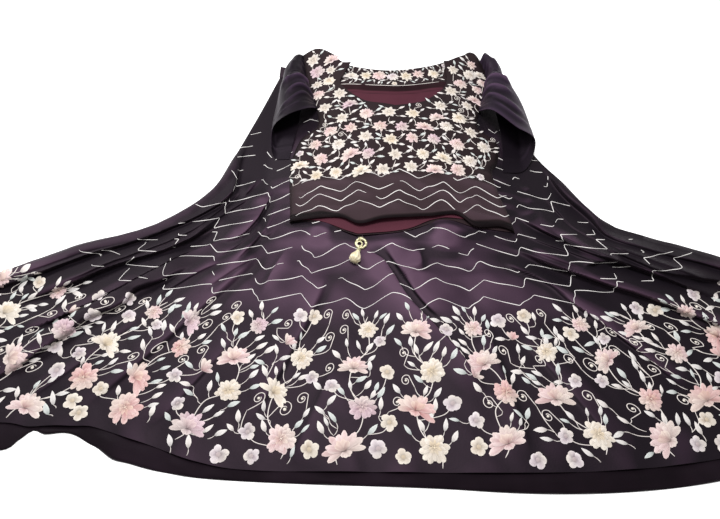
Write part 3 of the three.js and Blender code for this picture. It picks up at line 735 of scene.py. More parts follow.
def sleeve_grid(table, side, columns, rows):
    """Outer face of a sleeve, with a seam and a puff below it in front, and its painted light and shade.
    """
    shares, round_it = np.linspace(0, 1, rows + 1), np.linspace(0, 1, columns + 1)
    grid = sleeve_rings(table, side, shares, round_it)
    outwards = unit(np.cross(np.gradient(grid, axis=1), np.gradient(grid, axis=0)) * -side)
    a, b = np.meshgrid(round_it, shares)
    height = sleeve_folds(a, b)
    creased = height - blurred(height, 16)
    height += 0.8 * smoothstep(b, 0.90, 0.925) - 1.0 * bell(b - SLEEVE_STITCH, 0.012)
    seam = b - SLEEVE_SEAM - SEAM_SAG * np.sin(math.pi * a)
    puff = smoothstep(seam, -0.01, 0.05) * (1 - smoothstep(b, 0.62, 0.86))
    front = 1 - smoothstep(a, 0.50, 0.68)
    height += front * (PUFF * puff - 1.4 * bell(seam, 0.014))
    # Painted light on the puff, the folds' ridges and the hem's edge; painted shade in the folds' hollows
    # and round the back; a dark line at the seam.
    base, gain, lit = SLEEVE_PAINTED_LIGHT[side]
    lit_side = 1 - smoothstep(a, lit - 0.12, lit + 0.10)
    shade = base + front * (gain * puff * lit_side + 0.20 * creased - 0.5 * bell(seam, 0.016))
    shade += 0.25 * front * lit_side * smoothstep(b, 0.955, 0.985) - 0.26 * smoothstep(a, 0.55, 0.66)
    return grid + outwards * (CLOTH + height)[..., None], np.clip(shade, 0, 1)


def band_grid(floor, columns, rows):
    """Upper face of a waistband, gathered on its drawstring."""
    across, up = np.meshgrid(np.linspace(-1, 1, columns + 1), np.linspace(0, 1, rows + 1))
    x = WAIST["x"] + WAIST["half"] * across
    y = waist_seam(x) + SEAM_GAP + (WAIST["band"] - SEAM_GAP) * up
    pucker = np.sin(x / 1.9 + 2.2 * np.sin(x / 17)) * (0.25 + 0.55 * np.sin(math.pi * up))
    stitch = bell(up - 0.14, 0.05) + bell(up - 0.86, 0.05)
    z = floor(x, y) + WAIST["thick"] - 0.4 + 0.5 * pucker - 0.5 * stitch
    return np.stack([x, y, z], axis=2)


# --- Meshes -------------------------------------------------------------------------------
def grid_quads(rows, columns, first=0):
    """Corner numbers of the quads of a grid of points."""
    number = first + np.arange(rows * columns).reshape(rows, columns)
    corners = (number[:-1, :-1], number[:-1, 1:], number[1:, 1:], number[1:, :-1])
    return np.stack([c.ravel() for c in corners], axis=1)


def ring_faces(rings, sides, closed=False):
    """Faces between rings of points that follow each other, and over the two ends if the rings
    don't close up into one."""
    faces = []
    for k in range(rings if closed else rings - 1):
        for m in range(sides):
            n, after = (m + 1) % sides, (k + 1) % rings
            faces.append((k * sides + m, after * sides + m, after * sides + n, k * sides + n))
    if not closed:
        last = (rings - 1) * sides
        faces += [tuple(range(sides)), tuple(range(last + sides - 1, last - 1, -1))]
    return faces


def vertex_normals(points, quads):
    cross = np.cross(points[quads[:, 2]] - points[quads[:, 0]], points[quads[:, 3]] - points[quads[:, 1]])
    normals = np.zeros_like(points)
    for column in quads.T:
        np.add.at(normals, column, cross)
    return unit(normals)


def new_object(name, points, faces, material, sharp=None):
    mesh = bpy.data.meshes.new(name)
    mesh.from_pydata(to_world(points).tolist(), [], [list(face) for face in faces])
    mesh.polygons.foreach_set("use_smooth", [True] * len(mesh.polygons))
    if sharp:
        mesh.set_sharp_from_angle(angle=math.radians(sharp))
    mesh.materials.append(material)
    obj = bpy.data.objects.new(name, mesh)
    bpy.context.scene.collection.objects.link(obj)
    return obj


SHADE_WEIGHT = 8.0  # of a shade's whole range against a millimetre of height


def split_along_folds(quads, level):
    """Turns each quad so that its first diagonal, where it is split, joins its more level corners."""
    corners = level[quads]
    other = np.abs(corners[:, 1] - corners[:, 3]) < np.abs(corners[:, 0] - corners[:, 2])
    return np.where(other[:, None], np.roll(quads, 1, axis=1), quads)


def welded(grids):
    """Points and quads of grids that may share edges, and which of all their points are kept."""
    quads, first = [], 0
    for grid in grids:
        quads.append(grid_quads(*grid.shape[:2], first))
        first += grid.shape[0] * grid.shape[1]
    points = np.concatenate([grid.reshape(-1, 3) for grid in grids])
    _, kept, inverse = np.unique(points.round(3), axis=0, return_index=True, return_inverse=True)
    return points[kept], inverse.reshape(-1)[np.concatenate(quads)], kept


def rim_quads(quads, count):
    """Quads round the rim, between an outer face and the inner one, whose points come count later."""
    edges = np.concatenate([quads[:, [k, (k + 1) % 4]] for k in range(4)])
    codes, reverse = edges[:, 0] * count + edges[:, 1], edges[:, 1] * count + edges[:, 0]
    rim = edges[~np.isin(codes, reverse)]
    return np.stack([rim[:, 1], rim[:, 0], rim[:, 0] + count, rim[:, 1] + count], axis=1)


def shell(name, grids, thickness, material, shade=None, turn=None):
    """Closed thin cloth inside one or more grids of its outer face, which may share edges.
    turn says whether the grids' quads are to be turned over; without it, up is outside."""
    points, quads, kept = welded(grids)
    normals = vertex_normals(points, quads)
    if turn is None:
        turn = normals[:, 2].mean() < 0
    if turn:
        quads, normals = quads[:, ::-1], -normals
    values = np.zeros(len(points)) if shade is None else shade.reshape(-1)[kept]
    quads = split_along_folds(quads, points[:, 2] + SHADE_WEIGHT * values)
    count = len(points)
    faces = np.concatenate([quads, quads[:, ::-1] + count, rim_quads(quads, count)])
    both = np.concatenate([points, points - normals * thickness])
    both[:, 2] = np.maximum(both[:, 2], 0)
    obj = new_object(name, both, faces.tolist(), material, sharp=50)
    if shade is not None:
        add_values(obj, "shade", "FLOAT", "value", np.concatenate([values, values]))
    return obj


def add_values(obj, name, kind, field, values):
    """Gives each point of an object a value that its material reads."""
    attribute = obj.data.attributes.new(name, kind, "POINT")
    attribute.data.foreach_set(field, np.asarray(values, np.float32).ravel())


def fit_piece(piece, node=None):
    """Sets a finished piece on the part's one body, in place of a CAD node if there is one."""
    if node:
        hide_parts(node)
    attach(piece, "root")
    return piece


# --- Materials ----------------------------------------------------------------------------
def linear(code):
    """A colour as the renderer takes it, from its usual hexadecimal code."""
    parts = [int(code[k:k + 2], 16) / 255 for k in (0, 2, 4)]
    return [p / 12.92 if p < 0.04045 else ((p + 0.055) / 1.055) ** 2.4 for p in parts] + [1.0]


class Nodes:
    """A short way to write a material's nodes."""

    def __init__(self, name):
        self.material = bpy.data.materials.new(name)
        self.material.use_nodes = True
        self.tree = self.material.node_tree
        self.shader = self.tree.nodes["Principled BSDF"]
        self.place = self.tree.nodes.new("ShaderNodeTexCoord").outputs["Object"]

    def add(self, kind, inputs=None, **settings):
        node = self.tree.nodes.new("ShaderNode" + kind)
        for key, value in settings.items():
            setattr(node, key, value)
        for key, value in (inputs or {}).items():
            self.feed(node, key, value)
        return node

    def feed(self, node, key, value):
        if isinstance(value, bpy.types.NodeSocket):
            self.tree.links.new(value, node.inputs[key])
        else:
            node.inputs[key].default_value = value

    def shade(self, **values):
        for key, value in values.items():
            self.feed(self.shader, key.replace("_", " "), value)

    def noise(self, scale, detail=2.0, roughness=0.5, place=None):
        inputs = {"Vector": place or self.place, "Scale": scale, "Detail": detail}
        inputs["Roughness"] = roughness
        return self.add("TexNoise", inputs).outputs["Fac"]

    def ramp(self, value, stops):
        """Stops are positions, each with a hexadecimal code or a ready colour."""
        node = self.add("ValToRGB", {"Fac": value})
        ramp = node.color_ramp
        while len(ramp.elements) < len(stops):
            ramp.elements.new(0.5)
        for element, (position, color) in zip(ramp.elements, stops):
            element.position = position
            element.color = linear(color) if isinstance(color, str) else color
        return node.outputs["Color"]

    def times(self, first, second):
        """One colour multiplied by another."""
        mix = self.add("Mix", {0: 1.0, 6: first, 7: second}, data_type="RGBA", blend_type="MULTIPLY")
        return mix.outputs[2]

    def math(self, operation, *values):
        node = self.add("Math", operation=operation)
        for k, value in enumerate(values):
            self.feed(node, k, value)
        return node.outputs[0]

    def bump(self, height, strength, distance, onto=None):
        inputs = {"Height": height, "Strength": strength, "Distance": distance}
        if onto is not None:
            inputs["Normal"] = onto
        return self.add("Bump", inputs).outputs["Normal"]


def georgette(name, dark, middle, light, sheen, shaded=False):
    """Fine crêpe cloth with a soft sheen. Where it is shaded, its colour follows the painted shade that
    its points carry, darker in the folds' valleys.
    """
    nodes = Nodes(name)
    tone = nodes.noise(7.0, 3.0, 0.55)
    if shaded:
        shade = nodes.add("Attribute", attribute_name="shade").outputs["Fac"]
        tone = nodes.math("MULTIPLY_ADD", tone, 0.3, nodes.math("MULTIPLY_ADD", shade, 0.9, -0.1))
    crepe, slub = nodes.noise(900.0, 2.0, 0.6), nodes.noise(210.0)
    nodes.shade(
        Base_Color=nodes.ramp(tone, [(0.15, dark), (0.5, middle), (0.85, light)]),
        Roughness=0.55, Normal=nodes.bump(crepe, 0.35, 0.0004, nodes.bump(slub, 0.25, 0.0006)),
        Sheen_Weight=0.12, Sheen_Roughness=0.5, Sheen_Tint=linear(sheen),
        Specular_IOR_Level=0.5, Specular_Tint=linear(sheen),
    )
    return nodes.material


def satin(name, dark, light, sheen):
    """Lining cloth, darker where its painted shade is low."""
    nodes = Nodes(name)
    shade = nodes.add("Attribute", attribute_name="shade").outputs["Fac"]
    tone = nodes.math("MULTIPLY_ADD", nodes.noise(11.0, 3.0), 0.35, nodes.math("MULTIPLY", shade, 0.7))
    threads = nodes.add("TexWave", {"Vector": nodes.place, "Scale": 420.0, "Distortion": 1.5})
    nodes.shade(
        Base_Color=nodes.ramp(tone, [(0.2, dark), (0.85, light)]),
        Roughness=0.55, Sheen_Weight=0.1, Sheen_Tint=linear(sheen),
        Specular_IOR_Level=0.4, Specular_Tint=linear(sheen),
        Normal=nodes.bump(threads.outputs["Fac"], 0.15, 0.0003),
    )
    return nodes.material


def mottled(name, noise, stops, bump, **shading):
    """A material of one noise that colours it by the stops and dents it."""
    nodes = Nodes(name)
    cloudy = nodes.noise(*noise)
    nodes.shade(Base_Color=nodes.ramp(cloudy, stops), Normal=nodes.bump(cloudy, *bump), **shading)
    return nodes.material


def floor_material():
    nodes = Nodes("pale_floor")
    nodes.shade(Base_Color=(0.93, 0.93, 0.93, 1), Roughness=0.9,
                Emission_Color=(1, 1, 1, 1), Emission_Strength=0.42)
    return nodes.material


# --- Camera, lights and floor -------------------------------------------------------------
CAMERA = {"x": -45.0, "y": -681.0, "height": 850.0, "pitch": 35.0, "lens": 27.7}
FLOOR_HALF = 9000.0  # half of the floor's side, in mm
FLOOR_GAP = 0.0005  # how far the floor lies below the garment, in m


def add_camera():
    data = bpy.data.cameras.new("camera")
    data.lens = CAMERA["lens"]
    data.clip_start = 0.02
    camera = bpy.data.objects.new("camera", data)
    camera.location = to_world((CAMERA["x"], CAMERA["y"], CAMERA["height"]))
    camera.rotation_euler = (math.radians(CAMERA["pitch"]), 0, 0)
    bpy.context.scene.collection.objects.link(camera)
    bpy.context.scene.camera = camera


def add_light(name, place, aim, size, power):
    data = bpy.data.lights.new(name, "AREA")
    data.shape = "DISK"
    data.size, data.energy = size, power
    light = bpy.data.objects.new(name, data)
    light.location = place
    direction = light.location - type(light.location)(aim)
    light.rotation_euler = direction.to_track_quat("Z", "Y").to_euler()
    bpy.context.scene.collection.objects.link(light)


def add_studio():
    world = bpy.data.worlds.new("studio")
    world.use_nodes = True
    background = world.node_tree.nodes["Background"].inputs
    background["Color"].default_value = (1.0, 0.99, 0.98, 1)
    background["Strength"].default_value = 0.40
    bpy.context.scene.world = world
    add_light("lamp", place=(-0.10, 0.10, 1.60), aim=(-0.05, 0.0, 0.0), size=0.6, power=26.0)
    add_light("window", place=(-1.3, 0.9, 1.3), aim=(0.0, 0.0, 0.0), size=0.9, power=16.0)
    bpy.context.scene.view_settings.view_transform = "Standard"
    corners = [(x * FLOOR_HALF, y * FLOOR_HALF, 0) for x, y in ((-1, -1), (1, -1), (1, 1), (-1, 1))]
    floor = new_object("floor", corners, [(0, 1, 2, 3)], floor_material())
    floor.location.z = -FLOOR_GAP


# --- Drawstring and tassel ----------------------------------------------------------------
CORD_GAP = 0.6  # between the cord and the skirt
CORD_TWIST = {"twists": 70, "ridges": 3, "depth": 0.35}  # depth is of the ridges, in mm


def cord_route(count):
    """The line through the cord's middle, from the waistband to the ring."""
    y = np.linspace(CORD["top_y"], CORD["end_y"], 17)
    x = cord_x(y)
    z = skirt_top(x, y) + band_step(y) + CORD_GAP + CORD["radius"]
    return centripetal(np.stack([x, y, z], axis=1), np.linspace(0, 1, count))


def tube(route, radius, sides, twists, ridges, depth):
    """Points and faces of a tube along the route, with ridges that twist round it."""
    tangent = unit(np.gradient(route, axis=0))
    side = unit(np.cross(tangent, (0, 0, 1.0)))
    up = np.cross(side, tangent)
    angle = np.linspace(0, 2 * math.pi, sides, endpoint=False)[None, :]
    turn = np.linspace(0, 2 * math.pi * twists, len(route))[:, None]
    reach = (radius - depth * (0.5 - 0.5 * np.cos(ridges * (angle + turn))))[..., None]
    ring = reach * (np.cos(angle)[..., None] * side[:, None] + np.sin(angle)[..., None] * up[:, None])
    faces = [face[:1] + face[:0:-1] for face in ring_faces(len(route), sides)]
    return (route[:, None] + ring).reshape(-1, 3), faces


def cord_material():
    return mottled("plum_cord", (1500.0, 2.0), [(0.3, "3a2836"), (0.7, "6a4c63")], (0.4, 0.0003),
                   Roughness=0.6)


def add_drawstring(hung):
    route = cord_route(420)
    points, faces = tube(route, CORD["radius"], sides=12, **CORD_TWIST)
    cord = fit_piece(new_object("drawstring_cord", points, faces, cord_material()), "drawstring")


# --- Cloth pieces -------------------------------------------------------------------------
SHEET, HIDDEN_SHEET, CASING = 1.2, 0.9, 2.4  # thickness of the shells

# How finely each cloth is meshed: its columns and rows.
MESH = {
    "skirt_gathers": (120, 80), "skirt_front": (316, 149), "skirt_back": (300, 44),
    "choli_half": (70, 150), "choli_back": (100, 110), "choli_lining": (80, 120),
    "sleeve": (70, 90), "waistband": (420, 10),
}


def cloth_piece(node, grids, material, slot="georgette", thickness=SHEET, rests_on=(), kind="cloth",
                **options):
    """A shell in place of a CAD node."""
    piece = fit_piece(shell(f"{node}_{kind}", grids, thickness, material, **options), node)


def add_skirt():
    """The skirt's cloth. Returns its front's grid and lanes, which the stitches follow."""
    plum = georgette("plum_georgette", "07070b", "2a1d29", "4a3646", "a88da0", shaded=True)
    plain = georgette("plum_lining_side", "080608", "150f14", "211820", "3c3039")
    cloth_piece("skirt_gathers", [gathers_grid(*MESH["skirt_gathers"])], plain, thickness=HIDDEN_SHEET,
                rests_on=["skirt_back"])
    lanes = skirt_lanes(*MESH["skirt_front"])
    grid, shade = skirt_grid(lanes)
    cloth_piece("skirt_front", [grid], plum, rests_on=["skirt_back"], shade=shade)
    cloth_piece("skirt_back", [skirt_back_grid(*MESH["skirt_back"])], plain)
    return grid, lanes


def add_choli():
    cloth = georgette("choli_georgette", "070506", "2a2022", "42333a", "6c5a60", shaded=True)
    left, right = (front_half(side, *MESH["choli_half"]) for side in (-1, 1))
    halves = [left, right[:, ::-1]]
    # painted light and shade of the choli's front
    choli_shade = np.concatenate([front_shade(half).ravel() for half in halves])
    cloth_piece("choli_front", halves, cloth, rests_on=["choli_lining"], shade=choli_shade)
    back = back_grid(*MESH["choli_back"])
    cloth_piece("choli_back", [back], cloth, rests_on=["skirt_front", "waistband_front"],
                shade=np.full(back.shape[:2], 0.45))
    lining = lining_grid(*MESH["choli_lining"])
    cloth_piece("choli_lining", [lining], satin("maroon_satin", "13080b", "4c2631", "8f5f68"), "lining",
                rests_on=["choli_back"], shade=lining_shade(lining))


def lining_shade(grid):
    """How light the lining is painted: painted shade in a strip along its upper edge, and dark in a seam
    below it.
    """
    below_crest = lining_crest(grid[..., 0]) - grid[..., 1]
    return 0.85 - 0.75 * (1 - smoothstep(below_crest, 19, 22) + 0.6 * bell(below_crest - 28, 1.6))


def add_sleeves():
    cloth = georgette("plum_sleeve", "070608", "241b28", "453347", "8d7590", shaded=True)
    for name, table, side in (("left", SLEEVE_LEFT, -1), ("right", SLEEVE_RIGHT, 1)):
        grid, shade = sleeve_grid(table, side, *MESH["sleeve"])
        cloth_piece("sleeve_" + name, [grid], cloth, rests_on=["skirt_front"], shade=shade, turn=side > 0)


def on_skirt(x, y):
    """Underside of the waistband's front."""
    return WAIST["thick"] + SEAM_GAP + mound_height(x, y)


def on_floor(x, y):
    """Underside of the waistband's back."""
    return np.zeros_like(x)


def add_waistband():
    cloth = georgette("waist_casing", "0f0a0e", "231920", "352833", "4c3c48")
    for half, floor, rests_on in (("front", on_skirt, ["skirt_gathers"]), ("back", on_floor, ())):
        cloth_piece("waistband_" + half, [band_grid(floor, *MESH["waistband"])], cloth, "waist_cloth",
                    CASING, rests_on, "casing")


# --- Tassel -------------------------------------------------------------------------------
# The drop's radius down its length, both as shares, and the cap's radii and heights.
DROP_PROFILE = [(0, 0.12), (0.06, 0.30), (0.22, 0.36), (0.40, 0.60),
                (0.58, 0.86), (0.76, 1.0), (0.90, 0.82), (1.0, 0.10)]
CAP_RADII = (1.6, 3.6, 4.3, 3.9, 4.6, 4.2, 3.6)
CAP_HEIGHTS = (0.6, -0.4, -2.6, -4.2, -6.0, -7.4, -8.4)
DROP_LIFT = 4.0  # from the skirt up to the middle of the drop's upper end
WRAP_ANGLE = 0.16  # between two turns of the thread that binds the ring


def turned(axis, angle):
    """The matrix of a turn about x or z."""
    c, s = math.cos(angle), math.sin(angle)
    rows = {"x": [[1, 0, 0], [0, c, -s], [0, s, c]], "z": [[c, -s, 0], [s, c, 0], [0, 0, 1]]}
    return np.array(rows[axis])


def tassel_place():
    """Where the tassel hangs: a point on the skirt and the way that the cloth slopes there."""
    ground = skirt_top(RING["x"], RING["y"])
    slope = math.atan2(ground - skirt_top(RING["x"], RING["y"] - 20), 20)
    return np.array([RING["x"], RING["y"], ground]), turned("x", slope)


def turned_shape(radii, heights, sides, flutes, depth):
    """Points and faces of a shape turned about y, with flutes along it."""
    angle = np.linspace(0, 2 * math.pi, sides, endpoint=False)
    reach = np.array(radii)[:, None] * (1 - depth * (0.5 + 0.5 * np.cos(flutes * angle))[None, :])
    y = np.repeat(np.array(heights)[:, None], sides, axis=1)
    points = np.stack([reach * np.cos(angle), y, reach * np.sin(angle)], axis=2).reshape(-1, 3)
    return points, ring_faces(len(radii), sides)


def torus(centre, ring, radius, steps, sides, across="z", bead=0.0, beads=0):
    """Points and faces of a ring about z, or about x, with beads along it."""
    around = np.linspace(0, 2 * math.pi, steps, endpoint=False)[:, None]
    about = np.linspace(0, 2 * math.pi, sides, endpoint=False)[None, :]
    tube_radius = radius * (1 - bead * (0.5 + 0.5 * np.cos(beads * around)))
    reach = ring + tube_radius * np.cos(about)
    x, y, z = reach * np.cos(around), reach * np.sin(around), tube_radius * np.sin(about) + 0 * around
    points = np.stack([x, y, z] if across == "z" else [z, x, y], axis=2).reshape(-1, 3) + centre
    return points, ring_faces(steps, sides, closed=True)


def joined(parts):
    """One set of points and faces from several."""
    points, faces, first = [], [], 0
    for more_points, more_faces in parts:
        points.append(more_points)
        faces += [tuple(k + first for k in face) for face in more_faces]
        first += len(more_points)
    return np.concatenate(points), faces


def gilt(name):
    """Pale gold-tone metal, mottled at random from olive to near white: painted dark reflections and
    highlights.
    """
    return mottled(name, (320.0, 3.0), [(0.34, "7f784e"), (0.50, "ddd7b0"), (0.75, "f6f3da")],
                   (0.3, 0.0004), Metallic=0.7, Roughness=0.42)


def ivory():
    return mottled("ivory_silk", (120.0, 3.0), [(0.3, "d9c99c"), (0.75, "f3ead0")],
                   (0.2, 0.0005), Roughness=0.35, Sheen_Weight=0.3)


def ring_shape():
    """A beaded ring, the thread that binds it, and a small bead ring that lies in it."""
    lift, thick = RING["tube"] + 0.6, 0.95 * RING["tube"]
    parts = [torus((0, 0, lift), RING["radius"], thick, steps=96, sides=14, bead=0.22, beads=20)]
    for k in (-2, -1, 0, 1, 2):
        wrap, faces = torus((0, 0, 0), RING["tube"] + 0.5, 0.9, steps=20, sides=8, across="x")
        wrap = (wrap + (0, RING["radius"], 0)) @ turned("z", WRAP_ANGLE * k).T + (0, 0, lift)
        parts.append((wrap, faces))
    parts.append(torus((-3.0, -1.5, lift + 0.8), 5.0, 1.9, steps=48, sides=10, bead=0.25, beads=11))
    return joined(parts)


def add_tassel():
    """The ring, the drop and its cap, on the skirt below the choli's hem."""
    place, slope = tassel_place()
    reach = RING["radius"] + RING["tube"] + SEAM_GAP
    heading = DROP["heading"]
    foot = np.array([-reach * math.sin(heading), -reach * math.cos(heading), DROP_LIFT])
    turn = turned("x", -DROP["rise"]) @ turned("z", -heading)
    share = np.linspace(0, 1, 34)
    radii = smooth_table(DROP_PROFILE)(share) * DROP["radius"]
    body, body_faces = turned_shape(radii, -share * DROP["length"], sides=54, flutes=9, depth=0.12)
    cap, cap_faces = turned_shape(CAP_RADII, CAP_HEIGHTS, sides=40, flutes=10, depth=0.1)
    ring, links = ring_shape()
    shapes = (
        ("tassel_ring_gold", ring, links, gilt("gilt_ring"), "gold", "tassel_ring"),
        ("tassel_drop_ivory", body @ turn.T + foot, body_faces, ivory(), "ivory", "tassel_drop"),
        ("tassel_cap_gold", cap @ turn.T + foot, cap_faces, gilt("gilt_cap"), "gold", None),
    )
    return tuple(fit_piece(new_object(name, points @ slope.T + place, faces, material), node)
                 for name, points, faces, material, slot, node in shapes)


# --- Stitches: how they lie on the cloth --------------------------------------------------
PAST_CORNER = 0.0004  # share across the skirt for each millimetre past a corner of its hem


class SkirtGround:
    """The skirt's front. u runs along the hem from its middle, w up the cloth from the hem."""

    def __init__(self, grid, lanes):
        self.grid = grid
        self.normals = grid_normals(grid)
        even = np.linspace(0, 1, 1201)
        columns = np.linspace(0, 1, lanes.shape[1])
        self.columns = np.stack([np.interp(even, row, columns) for row in lanes])[..., None]
        share = np.linspace(0, 1, 1200)
        x = HALF_SPREAD * (2 * share - 1)
        y = hem_line(FRONT_HEM, x)
        along = running(np.hypot(np.diff(x), np.diff(y)))
        self.along = along - np.interp(0.5, share, along)
        self.share = share

    def cloth(self, u, w):
        """Shares across and down the cloth. They run on evenly past the hem's corners."""
        across = np.interp(u, self.along, self.share)
        across = across + (u - np.clip(u, self.along[0], self.along[-1])) * PAST_CORNER
        return across, 1 - w / (SKIRT_LENGTH * (1 + SIDES_LONGER * (2 * across - 1) ** 2))

    def inside(self, u, w, margin):
        return abs(u) < self.along[-1] - margin and w > 0.6 * margin

    def plan(self, u, w):
        return np.stack(skirt_plan(*self.cloth(u, w)), axis=-1)

    def surface(self, u, w):
        across, down = self.cloth(u, w)
        row = np.interp(down, DOWN_KNOTS, ROW_KNOTS)
        column = on_grid(self.columns, across, row)[..., 0]
        return on_grid(self.grid, column, row), on_grid(self.normals, column, row)


class PlanGround:
    """Cloth whose height is a function of its place on the floor."""

    def __init__(self, height, inside):
        self.height, self.inside = height, inside

    def plan(self, x, y):
        return np.stack([x, y], axis=-1)

    def surface(self, x, y):
        step = 1.5
        z = self.height(x, y)
        slope_x = (self.height(x + step, y) - self.height(x - step, y)) / (2 * step)
        slope_y = (self.height(x, y + step) - self.height(x, y - step)) / (2 * step)
        normals = np.stack([-slope_x, -slope_y, np.ones_like(x)], axis=-1)
        return np.stack([x, y, z], axis=-1), unit(normals)


def grid_normals(grid):
    """Which way is up from the cloth at each point of its grid."""
    return unit(np.cross(np.gradient(grid, axis=0), np.gradient(grid, axis=1)))


def on_grid(values, across, down):
    """The grid's values between its points, at these shares across and down it."""
    if not np.isfinite(across + down).all():
        raise ValueError("a stitch lies off the cloth")
    rows, columns = values.shape[0] - 1, values.shape[1] - 1
    i = np.clip(across * columns, 0, columns - 1e-6)
    j = np.clip(down * rows, 0, rows - 1e-6)
    i0, j0 = i.astype(int), j.astype(int)
    f, g = (i - i0)[..., None], (j - j0)[..., None]
    near = values[j0, i0] * (1 - f) + values[j0, i0 + 1] * f
    far = values[j0 + 1, i0] * (1 - f) + values[j0 + 1, i0 + 1] * f
    return near * (1 - g) + far * g


class Motifs:
    """Flowers and leaves: small raised meshes, each set out round a place on the ground."""

    def __init__(self, ground):
        self.ground = ground
        self.centres, self.turns = [], []
        self.owner, self.local, self.lift, self.color, self.stitch, self.faces = [], [], [], [], [], []
        self.count = 0

    def start(self, u, w, turn):
        """Opens a motif; what add() then takes is set out round it. turn is anticlockwise."""
        self.centres.append((u, w))
        self.turns.append(turn)

    def add(self, points, lift, color, stitch, *faces):
        self.owner.append(np.full(len(points), len(self.centres) - 1))
        self.local.append(points)
        self.lift.append(lift)
        self.color.append(color)
        self.stitch.append(stitch)
        for block in faces:
            self.faces += (block + self.count).tolist()
        self.count += len(points)

    def tint(self, first, heading, radius):
        """Blends the newest motif's threads, from part first on, to cream towards one side."""
        for points, colors in zip(self.local[first:], self.color[first:]):
            off = (points[:, 0] * math.cos(heading) + points[:, 1] * math.sin(heading)) / radius
            share = CREAM_MOST * smoothstep(off, -0.4, 0.8)[:, None]
            colors[:, :3] = colors[:, :3] * (1 - share) + colors[:, :1] * CREAM_SIDE * share

    def set_out(self):
        """The places u, w of all the points. Each motif keeps its own size on the floor's plan,
        however the ground's u and w are stretched there."""
        owner, local = np.concatenate(self.owner), np.concatenate(self.local)
        turns = np.array(self.turns)[owner]
        cos, sin = np.cos(turns)[:, None], np.sin(turns)[:, None]
        u, w = np.array(self.centres)[owner].T
        plan, step = self.ground.plan, 2.0
        along = (plan(u + step, w) - plan(u - step, w)) / (2 * step)
        up = (plan(u, w + step) - plan(u, w - step)) / (2 * step)
        ahead = unit(up)
        right = np.stack([ahead[:, 1], -ahead[:, 0]], axis=1)
        p, q = local[:, :1], local[:, 1:]
        offset = (p * cos - q * sin) * right + (p * sin + q * cos) * ahead
        area = along[:, 0] * up[:, 1] - along[:, 1] * up[:, 0]
        du = (offset[:, 0] * up[:, 1] - offset[:, 1] * up[:, 0]) / area
        dw = (along[:, 0] * offset[:, 1] - along[:, 1] * offset[:, 0]) / area
        return u + du, w + dw

    def build(self, name, material, slot):
        points, normals = self.ground.surface(*self.set_out())
        points = points + normals * np.concatenate(self.lift)[:, None]
        piece = fit_piece(new_object(name, points, self.faces, material))
        colors = piece.data.color_attributes.new("thread", "FLOAT_COLOR", "POINT")
        colors.data.foreach_set("color", np.concatenate(self.color).astype(np.float32).ravel())
        stitch = np.pad(np.concatenate(self.stitch), ((0, 0), (0, 1)))
        add_values(piece, "stitch", "FLOAT_VECTOR", "vector", stitch)


class Threads:
    """Lines of thread: stems, curls and zigzags, as rounded ribbons that lie on the ground."""

    def __init__(self, ground):
        self.ground = ground
        self.lines = []

    def add(self, points, width):
        """points are places u, w on the ground, close together, and width is one for all of them
        or one for each."""
        points = np.asarray(points, float)
        self.lines.append((points, np.broadcast_to(width, len(points))[:, None]))

    def build(self, name, material, slot):
        places = np.concatenate([line for line, _ in self.lines])
        points, normals = self.ground.surface(places[:, 0], places[:, 1])
        vertices, faces, first = [], [], 0
        for line, width in self.lines:
            end = first + len(line)
            vertices.append(ribbon(points[first:end], normals[first:end], width))
            faces.append(grid_quads(len(line), 4, 4 * first))
            first = end
        fit_piece(new_object(name, np.concatenate(vertices), np.concatenate(faces).tolist(), material))


THREAD_RISE, THREAD_TOP = 0.42, 0.55  # a thread's height and the width of its top, as shares of its width
THREAD_TIP, THREAD_GAIN = 0.45, 0.4  # its width at an end, and what it gains at each place after it


def ribbon(path, up, width):
    """Points of a rounded ribbon along a path: four at each place, closer at its ends."""
    side = unit(np.cross(np.gradient(path, axis=0), up))
    place = np.arange(len(path))
    taper = np.minimum(1, np.minimum(place, place[::-1]) * THREAD_GAIN + THREAD_TIP)[:, None]
    reach = side * (0.5 * width * taper)
    top = path + up * width * THREAD_RISE
    section = [path + reach, top + reach * THREAD_TOP, top - reach * THREAD_TOP, path - reach]
    return np.stack(section, axis=1).reshape(-1, 3)


# --- Stitches: petals, flowers and leaves -------------------------------------------------
# Half width of a petal or leaf at its stations, as a share of its widest place.
STATIONS = (0.0, 0.16, 0.38, 0.62, 0.84, 1.0)
OUTLINES = {
    "round": (0.34, 0.62, 0.90, 1.00, 0.80, 0.22),
    "ruffled": (0.24, 0.48, 0.80, 1.00, 0.86, 0.30),
    "pointed": (0.30, 0.72, 1.00, 0.84, 0.44, 0.03),
    "leaf": (0.06, 0.62, 1.00, 0.90, 0.50, 0.03),
}


def petal(motifs, base, heading, length, half, outline, foot, relief, deep, pale, across=4, bend=0.0):
    """One petal or leaf: it starts at base, heads anticlockwise from straight up, and is a low
    dome. Its colour runs from deep at the base to pale at its tip and edges."""
    t = np.array(STATIONS)[:, None]
    c = np.linspace(-1, 1, across + 1)[None, :]
    width = np.array(OUTLINES[outline])[:, None] * half
    p, q = width * c + bend * length * t**2, length * t + 0 * c
    cos, sin = math.cos(heading), math.sin(heading)
    points = np.stack([base[0] + p * cos - q * sin, base[1] + p * sin + q * cos], axis=-1)
    arch = 0.35 + 0.65 * np.sin(math.pi * np.clip(t, 0.05, 0.95))
    dome = np.sqrt(1 - 0.94 * c**2) * arch
    lift = foot + relief * dome
    streaks = 0.13 * np.sin(9 * c + 31 * heading + 5 * t)
    tone = np.clip(0.03 + 0.90 * t**1.2 + 0.45 * c**4 + streaks, 0, 1)[..., None]
    foot_shade = 1 - 0.38 * np.exp(-((t / 0.22) ** 2))[..., None]
    color = (np.array(deep) * (1 - tone) + np.array(pale) * tone) * foot_shade
    motifs.add(
        points.reshape(-1, 2), lift.reshape(-1), color.reshape(-1, 4),
        np.stack([p, q], axis=-1).reshape(-1, 2), grid_quads(len(STATIONS), across + 1),
    )


